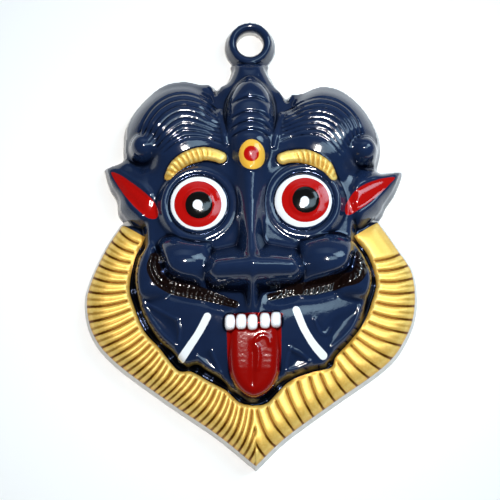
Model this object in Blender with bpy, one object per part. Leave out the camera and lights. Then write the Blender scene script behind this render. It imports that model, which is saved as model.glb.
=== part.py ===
"""Painted metal deity mask: one hollow casting with horn lobes, ears, a ribbed ruff and a hanging loop.

Metres, +Z up. The mask lies on its back rim with its face up and its loop towards +Y. The carving is a height
above that rim: each form has a function that gives its height over the drawing, and the front is their blend.
"""

import math

import bmesh
import bpy
import numpy as np

# Driving sizes, in metres
MASK_HEIGHT = 0.165
RELIEF_DEPTH = 0.034
WALL = 0.003
RIM_WIDTH = 0.0045
EDGE_HEIGHT = 0.0058
EDGE_DRAFT = 0.0016
HOLLOW_DRAFT = 0.0008
HOLLOW_SOFTNESS = 0.0025
LOOP_RADIUS = 0.0095
LOOP_HOLE_RADIUS = 0.005
LOOP_THICKNESS = 0.0072

# Fineness of the solid
FRONT_CELL = 0.0007
BACK_CELL = 0.0046
FRONT_SHARE = 0.13
CURVE_STEPS = 5
NEARBY = 6.0
CEILING_STEP = 1.2
PULL_PASSES = 3
PULL_STEP = 0.05
HOLE_SIDES = 32
CUT_PAST = 0.002
SHARP_ANGLE = math.radians(40.0)
LEAST_HEIGHT = 0.0002
FACING_BACK = -0.9
SLIVER = 0.03

# The drawing is a front view in its own squares, seen from a little below and not far away
VIEW_MIDDLE = (250.0, 250.0)
VIEW_TILT = math.radians(9.0)
VIEW_DISTANCE = 450.0
SQUARE = 0.3637
DRAWN_TOP = (250.0, 24.2)
DRAWN_TIP = (256.0, 471.7)

# Levels of the relief in the drawing, in millimetres
FULL_RELIEF = 34.0
OUTSIDE = -60.0
FLOOR = 7.0
RUFF_TOP = 10.6
SIDE_FILLET = 0.8

# How far the mould and the paint round off the carving, and the small cross that it is averaged over
SOFTNESS = 0.5
SOFT_STEPS = ((0, 0), (1, 0), (-1, 0), (0, 1), (0, -1))

# Outer edge, in squares of the drawing
RUFF_LEFT = (
    (121, 225), (104, 251), (89, 284), (84.6, 308), (92, 339),
    (115, 367), (166, 405), (216, 439), (256, 471.7),
)
RUFF_RIGHT = (
    (378, 221), (398, 249), (414, 275), (416.5, 312), (407, 342),
    (386, 370), (336, 406), (288, 441), (256, 471.7),
)
LOBE_LEFT = (
    (217, 92), (200, 85.5), (182, 83), (160, 89), (137, 110), (126, 128), (123.6, 144), (124, 162),
    (132, 190), (180, 180), (222, 160), (226, 143),
)
LOBE_RIGHT = (
    (285.5, 101), (301, 95), (319.5, 88), (341, 92), (362, 108.5), (376, 130), (380.5, 150), (377, 170),
    (370, 195), (325, 184), (280, 162), (279, 140),
)
HOOD = (
    (233, 66), (231, 74), (226, 85), (216, 93), (214, 125),
    (287, 125), (286.5, 102), (276, 88), (268, 74), (266, 66),
)
HOOD_BOTTOM = 50.0
HOOD_RISE = 5.5
HOOD_ROLL = 7.0
EAR_LEFT = (
    (128, 160), (120.5, 163.6), (105.7, 169.5), (105.3, 175), (110, 190.6), (117, 203), (121, 221),
    (146, 238), (166, 208), (150, 170),
)
EAR_RIGHT = (
    (372, 169), (381, 173.5), (397, 172), (402, 175.5), (395, 195), (386, 209), (378.4, 222),
    (354, 238), (340, 208), (352, 170),
)
CORE = ((150, 140), (224, 108), (280, 108), (350, 140), (350, 240), (255, 300), (150, 240))
LOOP_MIDDLE = (250, 50)

# Ruff: inner edge from each ear to the tip, and the ribs of each side by shares of that length
RUFF_INNER_LEFT = (
    (146.5, 236), (135, 259), (129.5, 287.5), (134, 306), (144, 330.5), (159.5, 348), (172, 364), (180, 371),
    (192, 371.5), (209, 381), (226, 390), (239.5, 402), (253.3, 405.5),
)
RUFF_INNER_RIGHT = (
    (352.5, 235), (368, 255), (376, 281), (372.6, 299.5), (364, 322), (350, 341), (336, 356), (331, 367),
    (312, 372), (288, 382), (268, 402), (253.3, 405.5),
)
FIRST_RIBS = (0.069, 0.128)
RIB_PITCHES = (0.0421, 0.0434)
RIB_DEPTH = 1.6
RIB_ROUND = 0.34
RIB_COLUMNS = 3
RUFF_ROWS = (0.12, 0.32, 0.6, 0.88)
RUFF_ROLL = 7.0
RUFF_BORDER = 0.8
RIB_FADE = 1.6
RUFF_LIP = 0.9
RUFF_LAP = 1.5
LAP_SLOPE = 8.0

# Blue face: crisp lower edge from below the left ear round to below the right one
PLATE_EDGE = (
    (148, 238), (139, 258), (137, 280), (143, 302), (151, 319), (164, 336), (177, 347), (187, 360),
    (197, 357), (207, 366), (222, 375), (237, 390), (253.3, 400), (269, 390), (284, 373), (311, 362),
    (322, 361),
    (333, 347), (346, 335), (355, 322.6), (361, 306), (368, 280), (363, 258), (351, 238),
    (352, 158), (300, 140), (200, 140), (148, 158),
)
PLATE_LEVEL = 15.0
PLATE_WALL_SLOPE = 1.5
PLATE_TOP_SLOPE = 0.6
PLATE_FILLET = 0.6
FLOOR_ROLL = 3.0
SKULL_TOP = 20.0
SKULL_HALF_WIDTH = 45.0
SKULL_FALL = 7.5
CHIN_FROM = -20.0
CHIN_LENGTH = 28.0
CHIN_FALL = 5.5

# Face forms: outlines or middle lines, each measured at its own level
HORN = (
    (250, 73), (241, 79), (234, 88), (229, 100), (227.5, 120), (230, 145), (238, 168),
    (263, 168), (271, 145), (273, 120), (271.5, 100), (267, 88), (259, 79),
)
HORN_LEVEL = 16.0
HORN_MARKS = (30, 45, 58, 66)
HORN_SIDES = (19, 16.5, 13, 9)
HORN_RIDGE = (24.5, 22.5, 18.5, 12)
HORN_ROLL = 7.5
HORN_FILLET = 0.8
SEGMENT_GROOVES = ((250.5, 95), (250.5, 111), (250.5, 121), (250.5, 130))
SEGMENT_LEVEL = 21.0
SEGMENT_DEPTH = 0.9
SEGMENT_ARCH = 0.045
SEGMENT_HALF_WIDTH = 0.8
LOBE_LEVEL = 18.0
LOBE_MIDDLES = ((181, 136), (321, 138))
LOBE_RADIUS = 22.0
LOBE_RISE = 15.0
LOBE_ROLL = 9.0
LOBE_SEAM_DROP = 2.2
LOBE_SEAM = 3.0
LOBE_FILLET = 1.2
LOCKS = 6
LOCK_DEPTH = 1.6
LOCK_BORDER = 2.5
LOCK_OUTERS = (
    ((223, 106), (214, 96), (200, 89), (184, 85.5), (166, 89), (150, 100), (140, 115), (134, 131)),
    ((281, 106), (292, 99), (305, 93.5), (320, 90.5), (338, 94), (352, 103), (362, 116), (367, 133)),
)
LOCK_INNERS = (
    ((227, 152), (217, 147.5), (205, 143.5), (190, 144.5), (177, 150), (165, 158)),
    ((278, 149), (291, 142.5), (305, 140.5), (318, 143), (328, 149), (338, 160)),
)
SEAM_LINES = (((219.5, 108), (222, 122), (226, 145)), ((282, 112), (278, 128), (274, 148)))
SEAM_HALF_WIDTH = 1.4
SEAM_RISE = 0.6
KNOBS = ((143, 144), (365, 147))
KNOB_RADIUS = 5.2
KNOB_LEVEL = 18.0
KNOB_FOOT = 12.5
KNOB_RISE = 6.8
KNOB_CREASE = 1.2
KNOB_HOLLOW = 3.0
KNOB_HOLLOW_HALF = (5.5, 3.4)
KNOB_HOLLOW_BELOW = 6.0
BROW_LEFT = ((167.5, 173), (174, 164.5), (187, 156), (203, 151.5), (214, 153), (220.5, 155.5))
BROW_RIGHT = ((334, 174), (327, 164.5), (315, 157.5), (303, 154), (290, 154.5), (283, 156.5))
BROW_LEVEL = 23.0
BROW_MARKS = (0, 0.2, 0.6, 1)
BROW_HALF_WIDTHS = (1.5, 2.2, 2.45, 2.1)
BROW_RISE = 1.9
BINDI = (251.5, 153.5)
BINDI_LEVEL = 25.0
BINDI_HALF = (4.8, 5.7)
BINDI_RISE = 0.8
EYES = ((198.4, 203.6), (304, 200.4))
EYE_LEVEL = 20.5
EYE_RADIUS = 10.2
EYE_BALL = 11.4
EYE_FOOT = 17.2
EYE_RISE = 4.2
PUPIL_RADIUS = 5.1
PUPIL_STEP = 0.5
PUPIL_RISE = 0.8
SOCKET_RADIUS = 12.3
SOCKET_HALF_WIDTH = 1.7
SOCKET_FOOT = 18.0
SOCKET_RISE = 2.4
SOCKET_FADE = 3.0
NOSE = (
    (203, 265), (208, 255), (222, 251), (238, 249), (246, 242), (258, 242), (266, 249), (285, 251),
    (300, 255), (306.5, 266), (303, 278), (291, 284), (275, 282), (263, 286), (257, 293), (248, 293),
    (241, 286),
    (226, 286), (211, 284), (204, 276),
)
NOSE_LEVEL = 27.0
NOSE_TOP = 33.0
NOSE_HALF_LENGTH = 21.0
NOSE_FALL = 3.0
NOSE_ROLL = 6.5
NOSE_UNDERSIDE = 23.0
NOSE_UPPERSIDE = 19.0
NOSE_FILLET = 1.2
BRIDGE = ((250.5, 165), (250.5, 200), (251, 230), (252.5, 268))
BRIDGE_LEVEL = 25.0
BRIDGE_MARKS = (0, 0.35, 0.7, 1)
BRIDGE_CREST = (24.5, 24.8, 27.5, 32)
BRIDGE_HALF_WIDTH = (9.0, 5.6, 5.2, 6.5)
BRIDGE_FALL = 6.5
BRIDGE_FILLET = 3.5
CHEEK_LEFT = (
    (156, 262), (153, 250), (161, 241), (177, 237), (194, 239), (206, 246), (205, 262), (203, 276),
    (207, 289), (195, 283), (180, 280), (167, 275), (160, 269),
)
CHEEK_RIGHT = (
    (358, 261), (359, 249), (350, 240), (332, 236), (314, 238), (303, 247), (305, 262), (305, 276),
    (296, 289), (310, 281), (328, 276), (344, 271), (353, 267),
)
CHEEK_LEVEL = 24.0
CHEEK_TOP = 28.0
CHEEK_UNDERSIDE = 20.5
CHEEK_UPPERSIDE = 15.5
CHEEK_ROLL = 8.0
CHEEK_FILLET = 2.0
OUTER_CHEEK_LEFT = ((150, 240), (138, 258), (134, 276), (138, 296), (156, 299), (170, 292), (160, 262))
OUTER_CHEEK_RIGHT = ((352, 238), (366, 254), (374, 275), (369, 295), (352, 297), (336, 292), (348, 262))
OUTER_CHEEK_LEVEL = 18.0
OUTER_CHEEK_TOP = 19.5
OUTER_CHEEK_FOOT = 14.5
OUTER_CHEEK_ROLL = 6.0
OUTER_CHEEK_FILLET = 1.0
MOUSTACHE_LEFT = ((154, 254), (152, 266), (157, 278.5), (171, 286), (186, 289), (206, 293), (237, 304.5))
MOUSTACHE_RIGHT = (
    (361, 253), (362, 261.5), (361, 269), (356, 276), (344.5, 279),
    (329, 283), (313, 287), (296, 289), (271, 296),
)
MOUSTACHE_LEVEL = 21.0
MOUSTACHE_MARKS = (0, 0.12, 0.6, 1)
MOUSTACHE_HALF_WIDTHS = (1.25, 1.8, 1.9, 0.7)
MOUSTACHE_RISE = 1.5
MOUSTACHE_DROP = 2.4
MOUSTACHE_DROP_REACH = 3.2
TEETH = ((230, 322.5), (241.1, 321.8), (252.6, 322.3), (264.8, 320.8), (275.8, 319.8))
TOOTH_HALF_SIZE = (1.7, 2.6)
TEETH_LEVEL = 19.0
TEETH_FOOT = 20.3
TEETH_RISE = 1.4
TOOTH_POWER = 3.5
TOOTH_ROLL = 0.35
TONGUE = (
    (228, 322), (226.5, 343), (228.5, 360), (231.6, 375), (239, 388), (253.3, 396.8), (270, 388),
    (278.8, 375), (281, 360), (281.5, 343), (280, 322),
)
TONGUE_LEVEL = 18.0
TONGUE_MARKS = (-54, -44, -28)
TONGUE_CREST = (17.6, 19.0, 20.2)
TONGUE_FOOT = 14.0
TONGUE_ROLL = 4.5
TONGUE_GROOVE = (255.5, 357)
TONGUE_GROOVE_DEPTH = 0.55
TONGUE_GROOVE_HALF_WIDTH = 0.9
FACETS = (
    ((143, 303), (160, 311), (178, 321), (179, 341), (164, 336), (151, 319)),
    ((197, 356), (204, 350), (212, 350), (217, 363), (222, 374), (208, 365.5)),
    ((360, 307), (337, 312), (323, 330), (332, 347), (345, 335), (354, 323)),
    ((286, 371), (288, 358), (290, 347), (303, 354), (311, 361.5), (300, 366)),
)
FACET_LEVEL = 15.0
FACET_DEPTH = 1.2
FACET_ROLL = 3.0
EAR_LEAF_LEFT = (
    (111, 172), (130, 180), (148.6, 195), (159.5, 210), (155, 222.5), (141, 217), (128, 202), (115, 184),
)
EAR_LEAF_RIGHT = (
    (395, 177), (371, 184.5), (355, 195), (344.5, 211), (350, 220.5), (368, 213), (382, 202.5), (390, 187),
)
EAR_LEVEL = 9.0
EAR_TIPS = (-53.0, 56.0)
EAR_LENGTH = 19.0
EAR_TIP_RISE = 1.2
EAR_RISE = 10.0
EAR_ROLL = 3.5
EAR_RIM_RISE = 1.0
EAR_RIM_OUTSET = 0.9
EAR_RIM_HALF_WIDTH = 1.1
EAR_LEAF_DROP = 1.0
EAR_LEAF_RISE = 1.3
EAR_LEAF_ROLL = 2.6
LOOP_INNER_DROP = 1.6
LOOP_FOOT = 0.6


def unit(value):
    return np.clip(value, 0.0, 1.0)


def ease(value):
    """0 to 1 with a soft start and end."""
    t = unit(value)
    return t * t * (3 - 2 * t)


def crown(value):
    """A quarter round: 0 at the edge, 1 from value 1 on."""
    return np.sqrt(1 - (1 - unit(value)) ** 2)


def bead(offset):
    """A half round bump, 1 in the middle and 0 from offset 1 on."""
    return np.sqrt(np.clip(1 - offset**2, 0.0, None))


def swell(offset):
    """A soft bump, 1 in the middle and fading out by offset 2."""
    return np.exp(-(offset**2))


def merge(a, b, softness):
    """The higher of two heights, with a fillet where they cross."""
    share = unit(0.5 + 0.5 * (a - b) / softness)
    return b + (a - b) * share + softness * share * (1 - share)


def place(points, level):
    """Drawing squares, at one level of the relief, as x and y in millimetres with the view's slant undone."""
    points = np.atleast_2d(np.asarray(points, float))
    right = points[:, 0] - VIEW_MIDDLE[0]
    up = VIEW_MIDDLE[1] - points[:, 1]
    focal = VIEW_DISTANCE / SQUARE
    lean, rise = math.sin(VIEW_TILT), math.cos(VIEW_TILT)
    y = (up * (VIEW_DISTANCE - level * rise) - focal * level * lean) / (focal * rise - up * lean)
    depth = VIEW_DISTANCE + y * lean - level * rise
    return np.column_stack((right * depth / focal, y))


def curve(points, closed):
    """A smooth line through a few points."""
    points = np.asarray(points, float)
    if closed:
        padded = np.vstack((points[-1:], points, points[:2]))
    else:
        padded = np.vstack((2 * points[0] - points[1], points, 2 * points[-1] - points[-2]))
    t = (np.arange(CURVE_STEPS) / CURVE_STEPS)[:, None]
    runs = []
    for a, b, c, d in zip(padded, padded[1:], padded[2:], padded[3:]):
        run = 2 * b + (c - a) * t + (2 * a - 5 * b + 4 * c - d) * t**2 + (3 * b - a - 3 * c + d) * t**3
        runs.append(run / 2)
    line = np.vstack(runs)
    return line if closed else np.vstack((line, points[-1:]))


class Line:
    """A polyline that measures how far off a point is, how far along, and whether it is inside."""

    def __init__(self, points, closed):
        self.points = np.asarray(points, float)
        ends = np.vstack((self.points, self.points[:1])) if closed else self.points
        self.start = ends[:-1]
        self.run = ends[1:] - ends[:-1]
        self.length = np.hypot(self.run[:, 0], self.run[:, 1])
        self.before = np.cumsum(self.length) - self.length
        self.total = self.length.sum()
        self.middle = (self.points.max(axis=0) + self.points.min(axis=0)) / 2
        self.half = (self.points.max(axis=0) - self.points.min(axis=0)) / 2

    def measure(self, x, y):
        """Distance, and share of the length at the nearest point."""
        best = np.full(x.shape, np.inf)
        along = np.zeros(x.shape)
        for start, run, length, before in zip(self.start, self.run, self.length, self.before):
            dx, dy = x - start[0], y - start[1]
            t = unit((dx * run[0] + dy * run[1]) / length**2)
            gap = (dx - t * run[0]) ** 2 + (dy - t * run[1]) ** 2
            near = gap < best
            best = np.where(near, gap, best)
            along = np.where(near, (before + t * length) / self.total, along)
        return np.sqrt(best), along

    def at(self, share):
        """Points at shares of the length, and straight on before the start."""
        marks = np.append(self.before, self.total) / self.total
        ends = np.vstack((self.start, self.start[-1:] + self.run[-1:]))
        first = self.run[0] / self.length[0] * self.total
        x = np.interp(share, marks, ends[:, 0]) + np.minimum(share, 0) * first[0]
        y = np.interp(share, marks, ends[:, 1]) + np.minimum(share, 0) * first[1]
        return x, y

    def inside(self, x, y):
        """Distance from a closed line, positive inside, measured roughly where it is far outside."""
        gap = np.maximum(np.abs(x - self.middle[0]) - self.half[0], np.abs(y - self.middle[1]) - self.half[1])
        near = gap < NEARBY
        gap[near] = -self.signed(x[near], y[near])
        return -gap

    def signed(self, x, y):
        best = np.full(x.shape, np.inf)
        winding = np.zeros(x.shape)
        for start, run, length in zip(self.start, self.run, self.length):
            dx, dy = x - start[0], y - start[1]
            t = unit((dx * run[0] + dy * run[1]) / length**2)
            best = np.minimum(best, (dx - t * run[0]) ** 2 + (dy - t * run[1]) ** 2)
            cross = run[0] * dy - run[1] * dx
            winding += np.where((dy >= 0) & (dy < run[1]) & (cross > 0), 1, 0)
            winding -= np.where((dy < 0) & (dy >= run[1]) & (cross < 0), 1, 0)
        return np.where(winding != 0, 1.0, -1.0) * np.sqrt(best)


def shape(points, level):
    """A closed form of the drawing at its level."""
    return Line(place(curve(points, True), level), True)


def stroke(points, level):
    """An open line of the drawing at its level."""
    return Line(place(curve(points, False), level), False)


DRAWN_HEIGHT = float(place(DRAWN_TOP, 0.0)[0][1] - place(DRAWN_TIP, 0.0)[0][1])
SCALE = MASK_HEIGHT / DRAWN_HEIGHT
DEPTH_SCALE = RELIEF_DEPTH / FULL_RELIEF
EDGE = EDGE_HEIGHT / DEPTH_SCALE
DRAFT = EDGE_DRAFT / SCALE
RING = LOOP_RADIUS / SCALE
HOLE = LOOP_HOLE_RADIUS / SCALE
LOOP_X = float(place(LOOP_MIDDLE, 0.0)[0][0])
LOOP_Y = float(place(DRAWN_TOP, 0.0)[0][1]) - RING

RUFF_EDGES = (stroke(RUFF_LEFT, 0.0), stroke(RUFF_RIGHT, 0.0))
RUFF_INNERS = (stroke(RUFF_INNER_LEFT, RUFF_TOP), stroke(RUFF_INNER_RIGHT, RUFF_TOP))
RUFF_SHAPE = Line(np.vstack((RUFF_EDGES[0].points, RUFF_EDGES[1].points[-2::-1])), True)
FACE_TOP = place(((300, 60), (200, 60)), RUFF_TOP)
FACE_SHAPE = Line(np.vstack((RUFF_INNERS[0].points, RUFF_INNERS[1].points[-2::-1], FACE_TOP)), True)
SIDES = [shape(points, 0.0) for points in (LOBE_LEFT, LOBE_RIGHT, HOOD, EAR_LEFT, EAR_RIGHT, CORE)]
BACKED_SIDES = SIDES[:2] + SIDES[5:]
PLATE_SHAPE = shape(PLATE_EDGE, PLATE_LEVEL)
HORN_SHAPE = shape(HORN, HORN_LEVEL)
NOSE_SHAPE = shape(NOSE, NOSE_LEVEL)
CHEEK_SHAPES = [shape(points, CHEEK_LEVEL) for points in (CHEEK_LEFT, CHEEK_RIGHT)]
OUTER_CHEEK_SHAPES = [shape(points, OUTER_CHEEK_LEVEL) for points in (OUTER_CHEEK_LEFT, OUTER_CHEEK_RIGHT)]
FACET_SHAPES = [shape(points, FACET_LEVEL) for points in FACETS]
TONGUE_SHAPE = shape(TONGUE, TONGUE_LEVEL)
LEAF_SHAPES = [shape(points, EAR_LEVEL) for points in (EAR_LEAF_LEFT, EAR_LEAF_RIGHT)]
BROW_LINES = [stroke(points, BROW_LEVEL) for points in (BROW_LEFT, BROW_RIGHT)]
MOUSTACHE_LINES = [stroke(points, MOUSTACHE_LEVEL) for points in (MOUSTACHE_LEFT, MOUSTACHE_RIGHT)]
BRIDGE_LINE = stroke(BRIDGE, BRIDGE_LEVEL)


def joined_distance(distance, x, y):
    """A distance widened to take in the sides of the head and the loop."""
    for side in SIDES:
        distance = merge(distance, side.inside(x, y), SIDE_FILLET)
    return merge(distance, RING - np.hypot(x - LOOP_X, y - LOOP_Y), SIDE_FILLET)


def edge_distance(x, y):
    """How far a place is inside the mask's outer edge, the loop's hole left out of account."""
    return joined_distance(RUFF_SHAPE.inside(x, y), x, y)


def pad(form, x, y, width, low, high):
    """A form with a rounded edge: low at its outline, high from its width inwards, and nothing outside."""
    inside = form.inside(x, y)
    return np.where(inside > 0, low + (high - low) * crown(inside / width), OUTSIDE)


def ridge(line, x, y, marks, half_widths):
    """A rounded ridge along a line, 1 at its middle, with its half width given at marks along it."""
    gap, share = line.measure(x, y)
    return bead(unit(gap / np.interp(share, marks, half_widths)))


def plate(x, y):
    """The broad dome that the face is carved on, with its steep wall at the lower edge."""
    chin = np.clip(CHIN_FROM - y, 0, None) / CHIN_LENGTH
    dome = SKULL_TOP - SKULL_FALL * (x / SKULL_HALF_WIDTH) ** 2 - CHIN_FALL * chin**2
    slope = np.interp(y, (0, 20), (PLATE_WALL_SLOPE, PLATE_TOP_SLOPE))
    return dome - slope * np.clip(-PLATE_SHAPE.signed(x, y), 0, None)


def collar(edge):
    """Height of the ruff's roll by the distance inside the outer edge, its ribs left out."""
    return EDGE + (RUFF_TOP - EDGE) * crown((edge - DRAFT) / RUFF_ROLL)


def ribs(turns, inner_gap):
    """Grooves between the ribs, by rib number. They fade out at the plain inner border and at the ears."""
    part = turns % 1.0
    groove = 1 - crown(np.minimum(part, 1 - part) / RIB_ROUND)
    return -RIB_DEPTH * groove * ease((inner_gap - RUFF_BORDER) / RIB_FADE) * (turns > -RIB_ROUND)


def hood(x, y, edge):
    low = np.where(y > HOOD_BOTTOM, EDGE, OUTSIDE)
    return low + HOOD_RISE * crown((edge - DRAFT) / HOOD_ROLL)


def lobe(x, y, form, middle, seam, edge):
    """A bun of hair: a dome that falls away to the outer edge, and a little to its seam with the horn."""
    dome = bead(np.hypot(x - middle[0], y - middle[1]) / LOBE_RADIUS)
    rise = LOBE_RISE * dome * crown((edge - DRAFT) / LOBE_ROLL)
    drop = LOBE_SEAM_DROP * (1 - crown(seam.measure(x, y)[0] / LOBE_SEAM))
    return np.where(form.inside(x, y) > 0, EDGE + rise - drop, OUTSIDE)


def locks(x, y, outer, inner):
    """Grooves between locks of hair, evenly spread between the outermost and the innermost one."""
    whole = Line(np.vstack((outer.points, inner.points[::-1])), True)
    out_gap, in_gap = outer.measure(x, y)[0], inner.measure(x, y)[0]
    part = (LOCKS * out_gap / (out_gap + in_gap)) % 1.0
    groove = 1 - crown(2 * np.minimum(part, 1 - part))
    return -LOCK_DEPTH * groove * ease(whole.inside(x, y) / LOCK_BORDER)


def horn(x, y):
    """The centre horn, with arched grooves across it."""
    side, top = np.interp(y, HORN_MARKS, HORN_SIDES), np.interp(y, HORN_MARKS, HORN_RIDGE)
    body = pad(HORN_SHAPE, x, y, HORN_ROLL, side, top)
    depth = SEGMENT_DEPTH * ease(HORN_SHAPE.inside(x, y) / 2)
    for spot in SEGMENT_GROOVES:
        middle = place(spot, SEGMENT_LEVEL)[0]
        arch = middle[1] - SEGMENT_ARCH * (x - middle[0]) ** 2
        body = body - depth * swell((y - arch) / SEGMENT_HALF_WIDTH)
    return body


def knob(x, y, middle, ground):
    """A bun of hair at the end of the locks, with a crease round it and a hollow under it."""
    dx, dy = x - middle[0], y - middle[1]
    away = np.hypot(dx, dy) / KNOB_RADIUS
    under = np.hypot(dx / KNOB_HOLLOW_HALF[0], (dy + KNOB_HOLLOW_BELOW) / KNOB_HOLLOW_HALF[1])
    ground = ground - KNOB_HOLLOW * swell(under) - KNOB_CREASE * swell(4 * (away - 1))
    return np.where(away < 1, np.maximum(ground, KNOB_FOOT + KNOB_RISE * bead(away)), ground)


def eye(x, y, middle, ground):
    """Eyeball with a raised pupil, in a groove, inside a socket ring that fades into the face."""
    away = np.hypot(x - middle[0], y - middle[1])
    ball = EYE_FOOT + EYE_RISE * bead(unit(away / EYE_BALL))
    ball = ball + np.where(away < PUPIL_RADIUS, PUPIL_STEP + PUPIL_RISE * bead(unit(away / PUPIL_RADIUS)), 0)
    ring = SOCKET_FOOT + SOCKET_RISE * bead(unit(np.abs(away - SOCKET_RADIUS) / SOCKET_HALF_WIDTH))
    height = np.where(away < EYE_RADIUS, ball, ring)
    return height + (ground - height) * ease((away - SOCKET_RADIUS) / SOCKET_FADE)


def nose(x, y):
    """A broad sausage across the face with a bridge that widens into it."""
    side = np.interp(y, (-11, -3), (NOSE_UNDERSIDE, NOSE_UPPERSIDE))
    wings = pad(NOSE_SHAPE, x, y, NOSE_ROLL, side, NOSE_TOP - NOSE_FALL * ((x - 1) / NOSE_HALF_LENGTH) ** 2)
    round_top = ridge(BRIDGE_LINE, x, y, BRIDGE_MARKS, BRIDGE_HALF_WIDTH)
    crest = np.interp(BRIDGE_LINE.measure(x, y)[1], BRIDGE_MARKS, BRIDGE_CREST)
    bridge = np.where(round_top > 0, crest - BRIDGE_FALL * (1 - round_top), OUTSIDE)
    return merge(wings, bridge, BRIDGE_FILLET)


def cheek(x, y, form):
    side = np.interp(y, (-12, 1), (CHEEK_UNDERSIDE, CHEEK_UPPERSIDE))
    return pad(form, x, y, CHEEK_ROLL, side, CHEEK_TOP)


def moustache_drop(x, y):
    """How far the face falls away beside and below the moustache."""
    drop = np.zeros(x.shape)
    for line in MOUSTACHE_LINES:
        gap, share = line.measure(x, y)
        below = np.interp(share, (0.0, 0.3, 0.9, 1.0), (0.2, 1, 1, 0.6))
        drop = np.maximum(drop, below * swell(gap / MOUSTACHE_DROP_REACH))
    return MOUSTACHE_DROP * drop * (y < -2)


def tongue(x, y):
    body = pad(TONGUE_SHAPE, x, y, TONGUE_ROLL, TONGUE_FOOT, np.interp(y, TONGUE_MARKS, TONGUE_CREST))
    middle = place(TONGUE_GROOVE, TONGUE_LEVEL)[0]
    groove = swell((x - middle[0]) / TONGUE_GROOVE_HALF_WIDTH) * ease((y + 52) / 4) * ease((-34 - y) / 3)
    return body - TONGUE_GROOVE_DEPTH * groove


def tooth(x, y, spot):
    middle = place(spot, TEETH_LEVEL)[0]
    dx = np.abs(x - middle[0]) / TOOTH_HALF_SIZE[0]
    dy = np.abs(y - middle[1]) / TOOTH_HALF_SIZE[1]
    inside = 1 - (dx**TOOTH_POWER + dy**TOOTH_POWER) ** (1 / TOOTH_POWER)
    return np.where(inside > 0, TEETH_FOOT + TEETH_RISE * crown(inside / TOOTH_ROLL), OUTSIDE)


def ear(x, y, form, leaf, tip_x):
    """A leaf that rises from its tip to the head, with a rim round a fuller inner leaf."""
    inside = form.inside(x, y)
    rise = EAR_TIP_RISE + EAR_RISE * unit(np.abs(x - tip_x) / EAR_LENGTH)
    body = np.where(inside > 0, EDGE + rise * crown((inside - DRAFT) / EAR_ROLL), OUTSIDE)
    leaf_inside = leaf.inside(x, y)
    rim = EAR_RIM_RISE * bead(unit(np.abs(leaf_inside + EAR_RIM_OUTSET) / EAR_RIM_HALF_WIDTH))
    filled = EAR_LEAF_RISE * crown(leaf_inside / EAR_LEAF_ROLL) - EAR_LEAF_DROP
    return body + rim + np.where(leaf_inside > 0, filled, 0)


def head(x, y):
    """The face's dome with its facets and outer cheeks, the ears, the hood, the lobes and the horn."""
    edge = edge_distance(x, y)
    face = plate(x, y) - moustache_drop(x, y)
    for form in FACET_SHAPES:
        face = face - FACET_DEPTH * ease(form.inside(x, y) / FACET_ROLL)
    for form in OUTER_CHEEK_SHAPES:
        swelling = pad(form, x, y, OUTER_CHEEK_ROLL, OUTER_CHEEK_FOOT, OUTER_CHEEK_TOP)
        face = merge(face, swelling, OUTER_CHEEK_FILLET)
    height = merge(EDGE + (FLOOR - EDGE) * crown((edge - DRAFT) / FLOOR_ROLL), face, PLATE_FILLET)
    for form, leaf, tip_x in zip(SIDES[3:5], LEAF_SHAPES, EAR_TIPS):
        height = merge(height, ear(x, y, form, leaf, tip_x), SIDE_FILLET)
    height = merge(height, hood(x, y, edge), SIDE_FILLET)
    for form, middle, line in zip(SIDES[:2], place(LOBE_MIDDLES, LOBE_LEVEL), SEAM_LINES):
        seam = stroke(line, LOBE_LEVEL)
        height = merge(height, lobe(x, y, form, middle, seam, edge), LOBE_FILLET)
        height = height + SEAM_RISE * bead(unit(seam.measure(x, y)[0] / SEAM_HALF_WIDTH))
    for outer, inner in zip(LOCK_OUTERS, LOCK_INNERS):
        height = height + locks(x, y, stroke(outer, LOBE_LEVEL), stroke(inner, LOBE_LEVEL))
    return merge(height, horn(x, y), HORN_FILLET)


def loop(x, y):
    """The round ring of the hanging loop, its inner side lower than its outer one."""
    away = np.hypot(x - LOOP_X, y - LOOP_Y)
    middle, half = (RING - DRAFT + HOLE) / 2, (RING - DRAFT - HOLE) / 2
    foot = EDGE - LOOP_INNER_DROP * (away < middle)
    return foot + (LOOP_THICKNESS / DEPTH_SCALE - foot) * bead(unit(np.abs(away - middle) / half))


def relief(x, y):
    """Height of the carved front above the rim without the ruff, in millimetres at full depth."""
    height = head(x, y)
    for middle in place(KNOBS, KNOB_LEVEL):
        height = knob(x, y, middle, height)
    height = merge(height, nose(x, y), NOSE_FILLET)
    for form in CHEEK_SHAPES:
        height = merge(height, cheek(x, y, form), CHEEK_FILLET)
    for middle in place(EYES, EYE_LEVEL):
        height = eye(x, y, middle, height)
    for line in BROW_LINES:
        height = height + BROW_RISE * ridge(line, x, y, BROW_MARKS, BROW_HALF_WIDTHS)
    for line in MOUSTACHE_LINES:
        height = height + MOUSTACHE_RISE * ridge(line, x, y, MOUSTACHE_MARKS, MOUSTACHE_HALF_WIDTHS)
    bindi = place(BINDI, BINDI_LEVEL)[0]
    oval = np.hypot((x - bindi[0]) / BINDI_HALF[0], (y - bindi[1]) / BINDI_HALF[1])
    height = height + BINDI_RISE * crown(3 * (1 - oval))
    height = merge(height, tongue(x, y), 0.3)
    for spot in TEETH:
        height = merge(height, tooth(x, y, spot), 0.2)
    on_loop = (np.hypot(x - LOOP_X, y - LOOP_Y) < RING + SIDE_FILLET) & (y > LOOP_Y - LOOP_FOOT * RING)
    return np.where(on_loop, loop(x, y), height)


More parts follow.
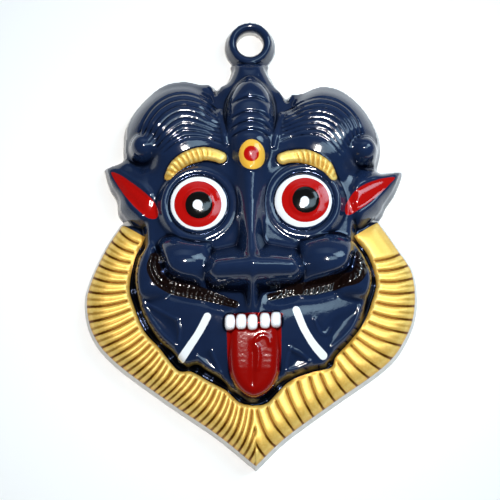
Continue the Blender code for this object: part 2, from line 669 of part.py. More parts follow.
# Solid: a grid trimmed to the outer edge and lifted to the relief, closed by a flat back
def grid(cell):
    """A flat grid of square cells over the whole drawing, in metres."""
    mesh = bmesh.new()
    across = math.ceil(MASK_HEIGHT * 0.82 / cell)
    up = math.ceil(MASK_HEIGHT * 1.08 / cell)
    bmesh.ops.create_grid(mesh, x_segments=across, y_segments=up, size=0.5)
    bmesh.ops.scale(mesh, vec=(across * cell, up * cell, 1.0), verts=mesh.verts)
    return mesh


def places(verts):
    """Drawing coordinates of vertices."""
    spots = np.array([vert.co[:2] for vert in verts]).reshape(-1, 2) / SCALE
    return spots[:, 0], spots[:, 1]


def pull(verts, distance, level):
    """Moves vertices square onto the line where a distance function has the given value."""
    x, y = places(verts)
    for _ in range(PULL_PASSES):
        here = distance(x, y)
        slope_x = (distance(x + PULL_STEP, y) - here) / PULL_STEP
        slope_y = (distance(x, y + PULL_STEP) - here) / PULL_STEP
        steepness = np.maximum(slope_x**2 + slope_y**2, 0.25)
        x = x - (here - level) * slope_x / steepness
        y = y - (here - level) * slope_y / steepness
    for vert, vert_x, vert_y in zip(verts, x, y):
        vert.co.x, vert.co.y = vert_x * SCALE, vert_y * SCALE


def near_line(mesh, distance, level, cell):
    """Vertices under half a cell from a line, and those more than half a cell outside it."""
    verts = list(mesh.verts)
    cells = (distance(*places(verts)) - level) * SCALE / cell
    near = [vert for vert, away in zip(verts, cells) if abs(away) < 0.5]
    outside = [vert for vert, away in zip(verts, cells) if away <= -0.5]
    return near, outside


def trim(mesh, distance, level, cell):
    """Cuts a grid along a line: the nearest vertices move onto it, and what lies outside goes."""
    near, outside = near_line(mesh, distance, level, cell)
    pull(near, distance, level)
    gone = set(outside)
    for face in list(mesh.faces):
        corners = list(face.verts)
        out = [vert in gone for vert in corners]
        if sum(out) == 1:
            away = out.index(True)
            bmesh.utils.face_split(face, corners[away - 1], corners[(away + 1) % 4])
    bmesh.ops.delete(mesh, geom=outside, context="VERTS")
    borders = {vert: sum(edge.is_boundary for edge in vert.link_edges) for vert in mesh.verts}
    pinched = [vert for vert, count in borders.items() if count != 2 * vert.is_boundary]
    bmesh.ops.delete(mesh, geom=pinched, context="VERTS")
    pull([vert for vert in mesh.verts if vert.is_boundary], distance, level)
    slivers = [face for face in mesh.faces if face.calc_area() < SLIVER * cell**2]
    bmesh.ops.delete(mesh, geom=slivers, context="FACES")


def lift(mesh, height):
    """Raises every vertex to a height function of the drawing, in metres and rounded to a micron."""
    heights = np.round(height(*places(mesh.verts)) * DEPTH_SCALE, 6)
    for vert, z in zip(mesh.verts, heights):
        vert.co.z = z


def carry_border(mesh, distance, level, bottom):
    """Extends an open surface from its border to a line at another height."""
    border = [edge for edge in mesh.edges if edge.is_boundary]
    made = bmesh.ops.extrude_edge_only(mesh, edges=border)["geom"]
    low = [item for item in made if isinstance(item, bmesh.types.BMVert)]
    pull(low, distance, level)
    for vert in low:
        vert.co.z = bottom


def close(mesh):
    """Fills the border with a flat face and turns every face outwards."""
    bmesh.ops.edgeloop_fill(mesh, edges=[edge for edge in mesh.edges if edge.is_boundary])
    bmesh.ops.triangulate(mesh, faces=[face for face in mesh.faces if len(face.verts) > 4])
    bmesh.ops.recalc_face_normals(mesh, faces=mesh.faces)


def make(name, mesh, shift):
    """An object from a bmesh, moved so that the mask is centred."""
    bmesh.ops.translate(mesh, vec=shift, verts=mesh.verts)
    data = bpy.data.meshes.new(name)
    mesh.to_mesh(data)
    mesh.free()
    data.shade_smooth()
    data.set_sharp_from_angle(angle=SHARP_ANGLE)
    item = bpy.data.objects.new(name, data)
    bpy.context.scene.collection.objects.link(item)
    return item


def thinned(mesh, share):
    """The same block with fewer triangles, chiefly where it is smooth."""
    fine = make("fine_block", mesh, (0.0, 0.0, 0.0))
    fine.modifiers.new("thin", "DECIMATE").ratio = share
    coarse = bmesh.new()
    coarse.from_object(fine, bpy.context.evaluated_depsgraph_get())
    coarse.normal_update()
    bpy.data.objects.remove(fine)
    return coarse


def face_distance(x, y):
    """How far a place is inside the face block: all but the ruff, with a lap under the ruff's inner edge."""
    block = joined_distance(FACE_SHAPE.inside(x, y) + RUFF_LAP, x, y)
    return np.minimum(block, edge_distance(x, y))


def soft_relief(x, y):
    """The relief averaged over a small cross, because the sand mould and the paint round its steps off."""
    heights = [relief(x + SOFTNESS * across, y + SOFTNESS * up) for across, up in SOFT_STEPS]
    return sum(heights) / len(heights)


def face_height(x, y):
    """The relief, with the drafted side that falls from it to the outer edge."""
    edge = edge_distance(x, y)
    height = np.where(edge < DRAFT, EDGE * unit(edge / DRAFT), soft_relief(x, y))
    return np.minimum(height, LAP_SLOPE * np.clip(face_distance(x, y), 0, None))


def whole_height(x, y):
    """Height of the whole front, with the ruff at the bottom of its grooves."""
    on_ruff = (FACE_SHAPE.inside(x, y) < 0) & (RUFF_SHAPE.inside(x, y) > 0)
    ruff = np.where(on_ruff, collar(edge_distance(x, y)) - RIB_DEPTH, 0.0)
    return np.maximum(relief(x, y), ruff)


def back_distance(x, y):
    """How far a place is inside the flat rim of the back. The ears, the hood and the loop are outside it."""
    distance = RUFF_SHAPE.inside(x, y)
    for side in BACKED_SIDES:
        distance = merge(distance, side.inside(x, y), SIDE_FILLET)
    return distance - RIM_WIDTH / SCALE


class Ceiling:
    """Height of the hollow: the front taken a wall's thickness in, and smoothed as a casting's back is."""

    def __init__(self):
        span = np.arange(-MASK_HEIGHT / SCALE * 0.56, MASK_HEIGHT / SCALE * 0.56, CEILING_STEP)
        self.first = span[0]
        front = whole_height(*np.meshgrid(span, span, indexing="ij"))
        lowest = front
        for across, up in self.ring_of((WALL + HOLLOW_SOFTNESS) / SCALE):
            lowest = np.minimum(lowest, np.roll(front, (across, up), (0, 1)))
        near = self.ring_of(HOLLOW_SOFTNESS / SCALE)
        self.height = sum(np.roll(lowest, shift, (0, 1)) for shift in near) / len(near) - WALL / DEPTH_SCALE

    def ring_of(self, radius):
        """Steps across and up within a radius."""
        most = int(radius / CEILING_STEP)
        steps = range(-most, most + 1)
        return [(a, b) for a in steps for b in steps if math.hypot(a, b) * CEILING_STEP <= radius]

    def at(self, x, y):
        across, up = (x - self.first) / CEILING_STEP, (y - self.first) / CEILING_STEP
        i, j = across.astype(int), up.astype(int)
        a, b = across - i, up - j
        low = (1 - a) * self.height[i, j] + a * self.height[i + 1, j]
        high = (1 - a) * self.height[i, j + 1] + a * self.height[i + 1, j + 1]
        return (1 - b) * low + b * high


def make_face():
    """The carved block of the face, lobes, ears, hood and loop, closed flat behind."""
    mesh = grid(FRONT_CELL)
    trim(mesh, face_distance, 0.0, FRONT_CELL)
    crease, _ = near_line(mesh, edge_distance, DRAFT, FRONT_CELL)
    pull([vert for vert in crease if not vert.is_boundary], edge_distance, DRAFT)
    bmesh.ops.triangulate(mesh, faces=mesh.faces)
    lift(mesh, face_height)
    close(mesh)
    mesh = thinned(mesh, FRONT_SHARE)
    back = [vert for vert in mesh.verts if min(face.normal.z for face in vert.link_faces) < FACING_BACK]
    border = [vert for vert in back if max(face.normal.z for face in vert.link_faces) > FACING_BACK]
    for vert in mesh.verts:
        vert.co.z = max(vert.co.z, LEAST_HEIGHT)
    for vert in back:
        vert.co.z = 0.0
    pull(border, face_distance, 0.0)
    return mesh


def ruff_columns(side):
    """One side's columns of points across the ruff, from under the ear to the tip, in the drawing."""
    step = RIB_PITCHES[side] / RIB_COLUMNS
    first = FIRST_RIBS[side] % step - step
    share = np.append(np.arange(first, 1 - 0.6 * step, step), 1.0)[:, None]
    outer_x, outer_y = RUFF_EDGES[side].at(share)
    inner_x, inner_y = RUFF_INNERS[side].at(share)
    width = np.hypot(inner_x - outer_x, inner_y - outer_y)
    rows = [0 * width, DRAFT / width] + [row + 0 * width for row in RUFF_ROWS + (1.0, 1.0)]
    across = np.hstack(rows)
    x = outer_x + (inner_x - outer_x) * across
    y = outer_y + (inner_y - outer_y) * across
    edge = np.minimum(*[line.measure(x, y)[0] for line in RUFF_EDGES])
    gap = np.minimum(*[line.measure(x, y)[0] for line in RUFF_INNERS])
    z = collar(edge) + ribs((share - FIRST_RIBS[side]) / RIB_PITCHES[side], gap)
    z[:, 1] = EDGE
    z[:, -2] -= RUFF_LIP
    z[:, 0] = z[:, -1] = 0.0
    return np.stack((x * SCALE, y * SCALE, z * DEPTH_SCALE), axis=2)


def make_ruff():
    """The ribbed collar: columns of points along each groove and rib, skinned and closed flat behind."""
    mesh = bmesh.new()
    strip = np.round(np.concatenate((ruff_columns(0), ruff_columns(1)[-2::-1])), 6)
    columns = [[mesh.verts.new(spot) for spot in column] for column in strip]
    for left, right in zip(columns, columns[1:]):
        for corners in zip(left, left[1:], right[1:], right):
            mesh.faces.new(corners)
    for end in (columns[0], columns[-1]):
        mesh.faces.new(end)
    close(mesh)
    return mesh


def make_hollow():
    """The space behind the face, which opens through the back."""
    mesh = grid(BACK_CELL)
    draft = HOLLOW_DRAFT / SCALE
    trim(mesh, back_distance, draft, BACK_CELL)
    lift(mesh, Ceiling().at)
    carry_border(mesh, back_distance, 0.0, 0.0)
    carry_border(mesh, back_distance, 0.0, -CUT_PAST)
    close(mesh)
    return mesh


def make_hole():
    """The round hole of the hanging loop."""
    mesh = bmesh.new()
    depth = LOOP_THICKNESS + 2 * CUT_PAST
    radii = {"radius1": LOOP_HOLE_RADIUS, "radius2": LOOP_HOLE_RADIUS}
    bmesh.ops.create_cone(mesh, cap_ends=True, segments=HOLE_SIDES, depth=depth, **radii)
    bmesh.ops.translate(mesh, vec=(LOOP_X * SCALE, LOOP_Y * SCALE, LOOP_THICKNESS / 2), verts=mesh.verts)
    return mesh


def paint():
    """Deep blue gloss paint over the casting."""
    material = bpy.data.materials.new("blue_paint")
    material.use_nodes = True
    shader = material.node_tree.nodes["Principled BSDF"]
    shader.inputs["Base Color"].default_value = (0.012, 0.03, 0.11, 1.0)
    shader.inputs["Roughness"].default_value = 0.2
    shader.inputs["Metallic"].default_value = 0.0
    return material


def combine(solid, other, operation):
    """Joins another solid to a solid, or cuts it away. The other is only a guide."""
    other.hide_render = True
    other.display_type = "WIRE"
    step = solid.modifiers.new(other.name, "BOOLEAN")
    step.operation = operation
    step.object = other


def main():
    for item in list(bpy.data.objects):
        bpy.data.objects.remove(item)
    face, ruff = make_face(), make_ruff()
    spots = np.array([vert.co[:2] for mesh in (face, ruff) for vert in mesh.verts])
    middle = (spots.max(axis=0) + spots.min(axis=0)) / 2
    shift = (-middle[0], -middle[1], 0.0)
    mask = make("mask", face, shift)
    mask.data.materials.append(paint())
    combine(mask, make("ruff", ruff, shift), "UNION")
    combine(mask, make("hollow", make_hollow(), shift), "DIFFERENCE")
    combine(mask, make("loop_hole", make_hole(), shift), "DIFFERENCE")


main()
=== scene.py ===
# %% [markdown]
# # Painted metal deity mask
#
# The mask is one casting: a fierce guardian's face with hair lobes, ears, a ribbed ruff and a
# hanging loop, painted with gloss enamel. The part's solid has its broad forms in a few thousand
# faces. This lesson makes the surface that a camera sees: the same forms again on a fine mesh, with
# locks of hair, beads and grooves, and then the paints.

# %% Load the frame
import math
import time
import bmesh
import bpy
import numpy as np
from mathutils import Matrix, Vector

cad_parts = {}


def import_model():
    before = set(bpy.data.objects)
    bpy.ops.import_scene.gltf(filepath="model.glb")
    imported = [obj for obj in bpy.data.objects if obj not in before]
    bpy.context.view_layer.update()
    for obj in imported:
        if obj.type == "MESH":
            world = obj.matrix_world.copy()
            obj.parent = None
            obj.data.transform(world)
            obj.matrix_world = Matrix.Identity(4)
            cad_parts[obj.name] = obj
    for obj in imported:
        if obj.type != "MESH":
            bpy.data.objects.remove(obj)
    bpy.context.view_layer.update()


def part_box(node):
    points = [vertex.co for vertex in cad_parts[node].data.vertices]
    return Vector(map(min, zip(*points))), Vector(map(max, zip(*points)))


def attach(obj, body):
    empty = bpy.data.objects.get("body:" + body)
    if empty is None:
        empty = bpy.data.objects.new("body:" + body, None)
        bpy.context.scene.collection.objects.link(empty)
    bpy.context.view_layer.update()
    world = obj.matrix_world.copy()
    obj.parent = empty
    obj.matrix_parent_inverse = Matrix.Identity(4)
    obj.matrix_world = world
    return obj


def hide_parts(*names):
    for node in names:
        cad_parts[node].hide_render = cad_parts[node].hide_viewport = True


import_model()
CAD_LOW, CAD_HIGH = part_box("mask")
print("The solid spans", [round(1000 * side, 1) for side in CAD_HIGH - CAD_LOW], "mm")

# %% [markdown]
# A mask seen from the front can be drawn on squared paper, but a photograph isn't such a drawing:
# the camera looked a little upwards at it from about half a metre, so what stands out is shifted
# and enlarged. One could correct each point by eye. Here every outline is noted where it appears,
# with the level at which it lies, and one function takes the slant out again. The same three
# numbers place the camera later.

# %% The drawing
VIEW_MIDDLE = (250.0, 250.0)
VIEW_TILT = math.radians(9.0)
VIEW_DISTANCE = 450.0
SQUARE = 0.3637
DRAWN_TOP = (250.0, 24.2)
DRAWN_TIP = (256.0, 471.7)
DEPTH_SCALE = 0.001


def place(points, level):
    """Drawing squares, at one level of the relief, as x and y in millimetres with the view's slant undone."""
    points = np.atleast_2d(np.asarray(points, float))
    right = points[:, 0] - VIEW_MIDDLE[0]
    up = VIEW_MIDDLE[1] - points[:, 1]
    focal = VIEW_DISTANCE / SQUARE
    lean, rise = math.sin(VIEW_TILT), math.cos(VIEW_TILT)
    y = (up * (VIEW_DISTANCE - level * rise) - focal * level * lean) / (focal * rise - up * lean)
    depth = VIEW_DISTANCE + y * lean - level * rise
    return np.column_stack((right * depth / focal, y))


DRAWN_HEIGHT = float(place(DRAWN_TOP, 0.0)[0][1] - place(DRAWN_TIP, 0.0)[0][1])
SCALE = (CAD_HIGH.y - CAD_LOW.y) / DRAWN_HEIGHT
print("One millimetre of the drawing is", round(1000 * SCALE, 4), "mm of the mask")

# %% [markdown]
# Each form of the carving is a height over the drawing. Sculpting by hand would do as well, but a
# height that is a formula can be changed, measured and painted by the same lines. A few small
# curves are enough for every form: a quarter round, a half round, a soft bump, and a way to join
# two heights with a fillet.

# %% Small curves
def unit(value):
    """A value kept between 0 and 1."""
    return np.clip(value, 0.0, 1.0)


def ease(value):
    """0 to 1 with a soft start and end."""
    t = unit(value)
    return t * t * (3 - 2 * t)


def crown(value):
    """A quarter round: 0 at the edge, 1 from value 1 on."""
    return np.sqrt(1 - (1 - unit(value)) ** 2)


def bead(offset):
    """A half round bump, 1 in the middle and 0 from offset 1 on."""
    return np.sqrt(np.clip(1 - offset**2, 0.0, None))


def swell(offset):
    """A soft bump, 1 in the middle and fading out by offset 2."""
    return np.exp(-(offset**2))


def merge(a, b, softness):
    """The higher of two heights, with a fillet where they cross."""
    share = unit(0.5 + 0.5 * (a - b) / softness)
    return b + (a - b) * share + softness * share * (1 - share)


print("Half way in, a quarter round has risen to", round(float(crown(0.5)), 2))

# %% [markdown]
# An outline is a smooth curve through a few points. Blender's own curves would draw it, but the
# carving needs more than to see the line, so its points are worked out here and kept as a plain
# list.

# %% A smooth curve
CURVE_STEPS = 6


def curve(points, closed):
    """A smooth line through a few points."""
    points = np.asarray(points, float)
    if closed:
        padded = np.vstack((points[-1:], points, points[:2]))
    else:
        padded = np.vstack((2 * points[0] - points[1], points, 2 * points[-1] - points[-2]))
    t = (np.arange(CURVE_STEPS) / CURVE_STEPS)[:, None]
    runs = []
    for a, b, c, d in zip(padded, padded[1:], padded[2:], padded[3:]):
        run = 2 * b + (c - a) * t + (2 * a - 5 * b + 4 * c - d) * t**2 + (3 * b - a - 3 * c + d) * t**3
        runs.append(run / 2)
    line = np.vstack(runs)
    return line if closed else np.vstack((line, points[-1:]))


print("A closed curve through four corners has", len(curve(((0, 0), (1, 0), (1, 1), (0, 1)), True)), "points")

# %% [markdown]
# To carve along a line, one needs to know for any place how far off the line is, how far along it
# the nearest point lies, and on which side the place is. Far from the line nobody asks for the
# exact distance, so there a bounding box gives a rough one, which saves most of the time.

# %% Lines that can be measured
NEARBY = 6.0


class Line:
    """A polyline that measures how far off a point is, how far along, and whether it is inside."""

    def __init__(self, points, closed):
        self.points = np.asarray(points, float)
        ends = np.vstack((self.points, self.points[:1])) if closed else self.points
        self.start = ends[:-1]
        self.run = ends[1:] - ends[:-1]
        self.length = np.hypot(self.run[:, 0], self.run[:, 1])
        self.before = np.cumsum(self.length) - self.length
        self.total = self.length.sum()
        self.middle = (self.points.max(axis=0) + self.points.min(axis=0)) / 2
        self.half = (self.points.max(axis=0) - self.points.min(axis=0)) / 2

    def at(self, share):
        """The place at a share of the length."""
        shares = np.append(self.before / self.total, 1.0)
        return np.interp(share, shares, self.points[:, 0]), np.interp(share, shares, self.points[:, 1])

    def box_gap(self, x, y):
        """Distance outside the line's bounding box, which is quick to work out."""
        across = np.abs(x - self.middle[0]) - self.half[0]
        up = np.abs(y - self.middle[1]) - self.half[1]
        return np.maximum(across, up)

    def measure(self, x, y, reach=NEARBY):
        """Distance, share of the length at the nearest point, and side. Rough where it is far off."""
        gap = self.box_gap(x, y)
        near = gap < reach
        share, side = np.zeros(x.shape), np.zeros(x.shape)
        gap[near], share[near], side[near] = self.nearest(x[near], y[near])
        return gap, share, side

    def nearest(self, x, y):
        """Exact distance, share of the length and side, by trying every piece of the line."""
        best = np.full(x.shape, np.inf)
        along, side = np.zeros(x.shape), np.zeros(x.shape)
        for start, run, length, before in zip(self.start, self.run, self.length, self.before):
            dx, dy = x - start[0], y - start[1]
            t = unit((dx * run[0] + dy * run[1]) / length**2)
            gap = (dx - t * run[0]) ** 2 + (dy - t * run[1]) ** 2
            near = gap < best
            best[near] = gap[near]
            along[near] = (before + t[near] * length) / self.total
            side[near] = np.sign(run[0] * dy - run[1] * dx)[near]
        return np.sqrt(best), along, side

    def inside(self, x, y):
        """Distance from a closed line, positive inside. Rough where it is far outside."""
        gap = self.box_gap(x, y)
        near = gap < NEARBY
        gap[near] = -self.signed(x[near], y[near])
        return -gap

    def signed(self, x, y):
        """Exact distance from a closed line, positive inside, where the line winds round the place."""
        best = np.full(x.shape, np.inf)
        winding = np.zeros(x.shape)
        for start, run, length in zip(self.start, self.run, self.length):
            dx, dy = x - start[0], y - start[1]
            t = unit((dx * run[0] + dy * run[1]) / length**2)
            best = np.minimum(best, (dx - t * run[0]) ** 2 + (dy - t * run[1]) ** 2)
            cross = run[0] * dy - run[1] * dx
            winding += np.where((dy >= 0) & (dy < run[1]) & (cross > 0), 1, 0)
            winding -= np.where((dy < 0) & (dy >= run[1]) & (cross < 0), 1, 0)
        return np.where(winding != 0, 1.0, -1.0) * np.sqrt(best)


def shape(points, level):
    """A closed form of the drawing at its level."""
    return Line(place(curve(points, True), level), True)


def stroke(points, level):
    """An open line of the drawing at its level."""
    return Line(place(curve(points, False), level), False)


print("Distances are exact within", NEARBY, "mm of a line")

# %% [markdown]
# The mask's outline is no single curve. The two sides of the ruff meet in the tip, and above them
# the hair lobes, the hood and the ears stand out of the head, with the ring of the loop on top.
# Drawn as one line, each notch between them would have to be placed by hand. Here each form is a
# closed curve of its own, a core fills the middle, and their distances are joined with a small
# fillet, as wax does in a founder's pattern.
#
# Outlines are given in squares of the drawing. Other lengths are in millimetres, except those that
# the solid is also made from, such as the loop's radii, which are in metres.

# %% The outer edge
RUFF_LEFT = (
    (121, 225), (104, 251), (89, 284), (84.6, 308), (92, 339),
    (115, 367), (166, 405), (216, 439), (256, 471.7),
)
RUFF_RIGHT = (
    (378, 221), (398, 249), (414, 275), (416.5, 312), (407, 342),
    (386, 370), (336, 406), (288, 441), (256, 471.7),
)
LOBE_LEFT = (
    (217, 92), (200, 85.5), (182, 83), (160, 89), (137, 110), (126, 128), (123.6, 144), (124, 162),
    (132, 190), (180, 180), (222, 160), (226, 143),
)
LOBE_RIGHT = (
    (285.5, 101), (301, 95), (319.5, 88), (341, 92), (362, 108.5), (376, 130), (380.5, 150), (377, 170),
    (370, 195), (325, 184), (280, 162), (279, 140),
)
HOOD = (
    (233, 66), (231, 74), (226, 85), (216, 93), (214, 125),
    (287, 125), (286.5, 102), (276, 88), (268, 74), (266, 66),
)
EAR_LEFT = (
    (128, 160), (120.5, 163.6), (105.7, 169.5), (105.3, 175), (110, 190.6), (117, 203), (121, 221),
    (146, 238), (166, 208), (150, 170),
)
EAR_RIGHT = (
    (372, 169), (381, 173.5), (397, 172), (402, 175.5), (395, 195), (386, 209), (378.4, 222),
    (354, 238), (340, 208), (352, 170),
)
CORE = ((150, 140), (224, 108), (280, 108), (350, 140), (350, 240), (255, 300), (150, 240))
LOOP_MIDDLE = (250, 50)
LOOP_RADIUS = 0.0095
LOOP_HOLE_RADIUS = 0.005
SIDE_FILLET = 0.8

RUFF_EDGES = (stroke(RUFF_LEFT, 0.0), stroke(RUFF_RIGHT, 0.0))
RUFF_SHAPE = Line(np.vstack((RUFF_EDGES[0].points, RUFF_EDGES[1].points[-2::-1])), True)
TIP_X = RUFF_EDGES[0].points[-1, 0]
SIDES = [shape(points, 0.0) for points in (LOBE_LEFT, LOBE_RIGHT, HOOD, EAR_LEFT, EAR_RIGHT, CORE)]
RING = LOOP_RADIUS / SCALE
HOLE = LOOP_HOLE_RADIUS / SCALE
LOOP_X = float(place(LOOP_MIDDLE, 0.0)[0][0])
LOOP_Y = float(place(DRAWN_TOP, 0.0)[0][1]) - RING


def with_sides(sides, x, y):
    """How far a place is inside the ruff's form or one of the side forms, with fillets between them."""
    distance = RUFF_SHAPE.inside(x, y)
    for side in sides:
        distance = merge(distance, side.inside(x, y), SIDE_FILLET)
    return distance


def edge_distance(x, y):
    """How far a place is inside the mask's outer edge, the loop's hole left out of account."""
    return merge(with_sides(SIDES, x, y), RING - np.hypot(x - LOOP_X, y - LOOP_Y), SIDE_FILLET)


print("The ruff is", round(2 * RUFF_SHAPE.half[0], 1), "mm wide on the drawing")

# %% [markdown]
# A casting has to leave its mould, so its sides slope: the wall between the back rim and the front
# leans in by a draft. Many forms on the front are pads with a rounded edge, so one function makes
# them all. Outside its outline a form has a height far below the mask, and the higher of two forms
# is always the one that shows.

# %% Drafted side and rounded pads
OUTSIDE = -60.0
EDGE_HEIGHT = 0.0058
EDGE_DRAFT = 0.0016
EDGE = EDGE_HEIGHT / DEPTH_SCALE
DRAFT = EDGE_DRAFT / SCALE


def pad(form, x, y, width, low, high):
    """A form with a rounded edge: low at its outline, high from its width inwards, and nothing outside."""
    inside = form.inside(x, y)
    return np.where(inside > 0, low + (high - low) * crown(inside / width), OUTSIDE)


print("The side is", EDGE_HEIGHT, "m high and leans in by", EDGE_DRAFT, "m")

# %% [markdown]
# The face is carved on a broad dome that falls away to its sides and to the chin, and ends below in
# a steep wall that goes down to the ruff. A scaled sphere would be a start too, but its wall would
# not follow the outline.

# %% The face's dome
PLATE_EDGE = (
    (148, 238), (139, 258), (136, 280), (140, 301), (148, 320), (160, 337), (174, 350), (184, 362.5),
    (197, 361), (207, 368), (222, 377), (237, 391.5), (253.3, 401), (269, 391.5), (284, 376), (311, 366),
    (325, 363), (335, 350), (349, 337), (358, 323), (364, 306), (369, 280), (363, 258), (351, 238),
    (352, 158), (300, 140), (200, 140), (148, 158),
)
PLATE_LEVEL = 15.0
PLATE_SHAPE = shape(PLATE_EDGE, PLATE_LEVEL)
PLATE_FILLET = 0.6
PLATE_SLOPE_MARKS = (0, 20)
PLATE_SLOPES = (3.2, 0.6)
SKULL_TOP = 20.0
SKULL_HALF_WIDTH = 45.0
SKULL_FALL = 7.5
CHIN_FROM = -20.0
CHIN_LENGTH = 28.0
CHIN_FALL = 5.5


def plate(x, y):
    """The broad dome that the face is carved on, with its steep wall at the lower edge."""
    chin = np.clip(CHIN_FROM - y, 0, None) / CHIN_LENGTH
    dome = SKULL_TOP - SKULL_FALL * (x / SKULL_HALF_WIDTH) ** 2 - CHIN_FALL * chin**2
    slope = np.interp(y, PLATE_SLOPE_MARKS, PLATE_SLOPES)
    return dome - slope * np.clip(-PLATE_SHAPE.signed(x, y), 0, None)


print("The dome is", SKULL_TOP, "mm high in the middle")

# %% [markdown]
# The ruff is a rolled collar round the lower face. A curve with a round bevel would give such a
# roll, but this one widens and narrows, so its height goes by the distance from the outer edge and
# ends at the face's outline.

# %% Roll of the ruff
RUFF_TOP = 10.6
RUFF_ROLL = 7.0
RUFF_MARGIN = 1.0
RUFF_INNER_LEFT = (
    (146.5, 236), (135, 259), (129.5, 287.5), (134, 306), (144, 330.5), (159.5, 348), (172, 364), (180, 371),
    (192, 371.5), (209, 381), (226, 390), (239.5, 402), (253.3, 405.5),
)
RUFF_INNER_RIGHT = (
    (352.5, 235), (368, 255), (376, 281), (372.6, 299.5), (364, 322), (350, 341), (336, 356), (331, 367),
    (312, 372), (288, 382), (268, 402), (253.3, 405.5),
)
RUFF_INNERS = (stroke(RUFF_INNER_LEFT, RUFF_TOP), stroke(RUFF_INNER_RIGHT, RUFF_TOP))
FACE_TOP = place(((300, 60), (200, 60)), RUFF_TOP)
FACE_SHAPE = Line(np.vstack((RUFF_INNERS[0].points, RUFF_INNERS[1].points[-2::-1], FACE_TOP)), True)


def on_ruff(x, y):
    """Whether a place lies on the ruff."""
    return (FACE_SHAPE.signed(x, y) < 0) & (RUFF_SHAPE.signed(x, y) > -RUFF_MARGIN)


def ruff(x, y, edge):
    """The collar's roll without its ribs, and nothing inside its inner edge."""
    return np.where(on_ruff(x, y), EDGE + (RUFF_TOP - EDGE) * crown((edge - DRAFT) / RUFF_ROLL), OUTSIDE)


print("The inner lines of the ruff are", [round(line.total, 1) for line in RUFF_INNERS], "mm long")

# %% [markdown]
# The ribs are cut across the collar and turn with it, so neither straight cuts nor an array would
# fit. Outer and inner line are joined like the sides of a ladder, whose rungs connect equal shares
# of both lengths. Counting along the ladder gives every place a rib number with decimals: a slit is
# where the number is whole, and a shallower fold runs half way between. The same number later paints
# shade into the slits as dark brown, finer than the mesh could carve them.

# %% Ribs of the ruff
FIRST_RIBS = (0.0379, 0.1388)
RIB_PITCHES = (0.0423, 0.0431)
RIB_LEANS = (
    ((0.1, 0.2, 0.35, 0.6, 0.66, 0.72, 0.95), (0.03, 0.03, -0.012, -0.01, 0.03, 0.06, 0.075)),
    ((0.1, 0.45, 0.5, 0.62, 0.75, 0.82, 0.9), (0.012, 0.012, -0.016, -0.012, 0.0, 0.03, 0.085)),
)
RIB_PIVOT = 0.475
RIB_BOW = 0.012
RIB_DEPTH = 1.15
RIB_ROUND = 0.42
RIB_FADE = 1.3
FOLD_DEPTHS = (((0, 1, 9, 11), (0.0, 0.4, 0.55, 0.95)), ((0, 5, 7), (0.35, 0.3, 0.0)))
FOLD_ROUND = 0.25
FIRST_FOLD = -0.4
RUFF_BORDER = 0.5
RUFF_SEARCH = 14


def rungs(x, y, outer, inner):
    """Where a place lies on the ladder between two lines: the share along it, and across it from outside."""
    low, high = np.zeros(x.shape), np.ones(x.shape)
    for _ in range(RUFF_SEARCH):
        middle = (low + high) / 2
        (out_x, out_y), (in_x, in_y) = outer.at(middle), inner.at(middle)
        turn = (in_x - out_x) * (y - out_y) - (in_y - out_y) * (x - out_x)
        passed = turn < 0
        low, high = np.where(passed, middle, low), np.where(passed, high, middle)
    along = (x - out_x) * (in_x - out_x) + (y - out_y) * (in_y - out_y)
    return middle, unit(along / ((in_x - out_x) ** 2 + (in_y - out_y) ** 2))


def mirrored(line, side):
    """A line as it is for side 1, or with left and right exchanged for side -1."""
    return Line(line.points * (side, 1), False)


def rib_turns(x, y):
    """Rib number at a place of the ruff, counted from the ear to the tip, how much its folds are cut, and
    the distance to the inner edge. The right side is worked out as a mirror image of a left one."""
    sides = []
    for side, outer, inner, first, pitch, leans, folds in zip(
        (1, -1), RUFF_EDGES, RUFF_INNERS, FIRST_RIBS, RIB_PITCHES, RIB_LEANS, FOLD_DEPTHS
    ):
        share, across = rungs(side * x, y, mirrored(outer, side), mirrored(inner, side))
        bow = RIB_BOW * (4 * across * (1 - across) - 1)
        turns = (share - np.interp(share, *leans) * (across - RIB_PIVOT) - bow - first) / pitch
        sides.append((turns, np.interp(turns, *folds) * (turns > FIRST_FOLD)))
    turns, fold = (np.where(x < TIP_X, left, right) for left, right in zip(*sides))
    gap = np.minimum(*(line.measure(x, y, 2 * NEARBY)[0] for line in RUFF_INNERS))
    return turns, fold, gap


def rib_fade(turns, inner_gap):
    """Ribs fade out at the plain inner border and at the ears."""
    return ease((inner_gap - RUFF_BORDER) / RIB_FADE) * ease((turns - 2 * FIRST_FOLD) / RIB_ROUND)


def ribs(turns, fold, inner_gap):
    """Slits between the ribs, by rib number, and a shallower fold along the middle of each rib."""
    away = np.abs((turns + 0.5) % 1.0 - 0.5)
    slit = 1 - crown(away / RIB_ROUND)
    crease = fold * (1 - crown((0.5 - away) / FOLD_ROUND))
    return -RIB_DEPTH * np.maximum(slit, crease) * rib_fade(turns, inner_gap)


print("Ribs on each side:", [int((1 - first) / pitch) for first, pitch in zip(FIRST_RIBS, RIB_PITCHES)])

# %% [markdown]
# Two buns of hair stand on either side of a low hood. A sphere under a subdivision modifier would
# need its outline pushed in by hand. A dome times a rounding that goes by the distance from the
# edge keeps the outline exact, and dips where the lobe meets the hood and the horn.

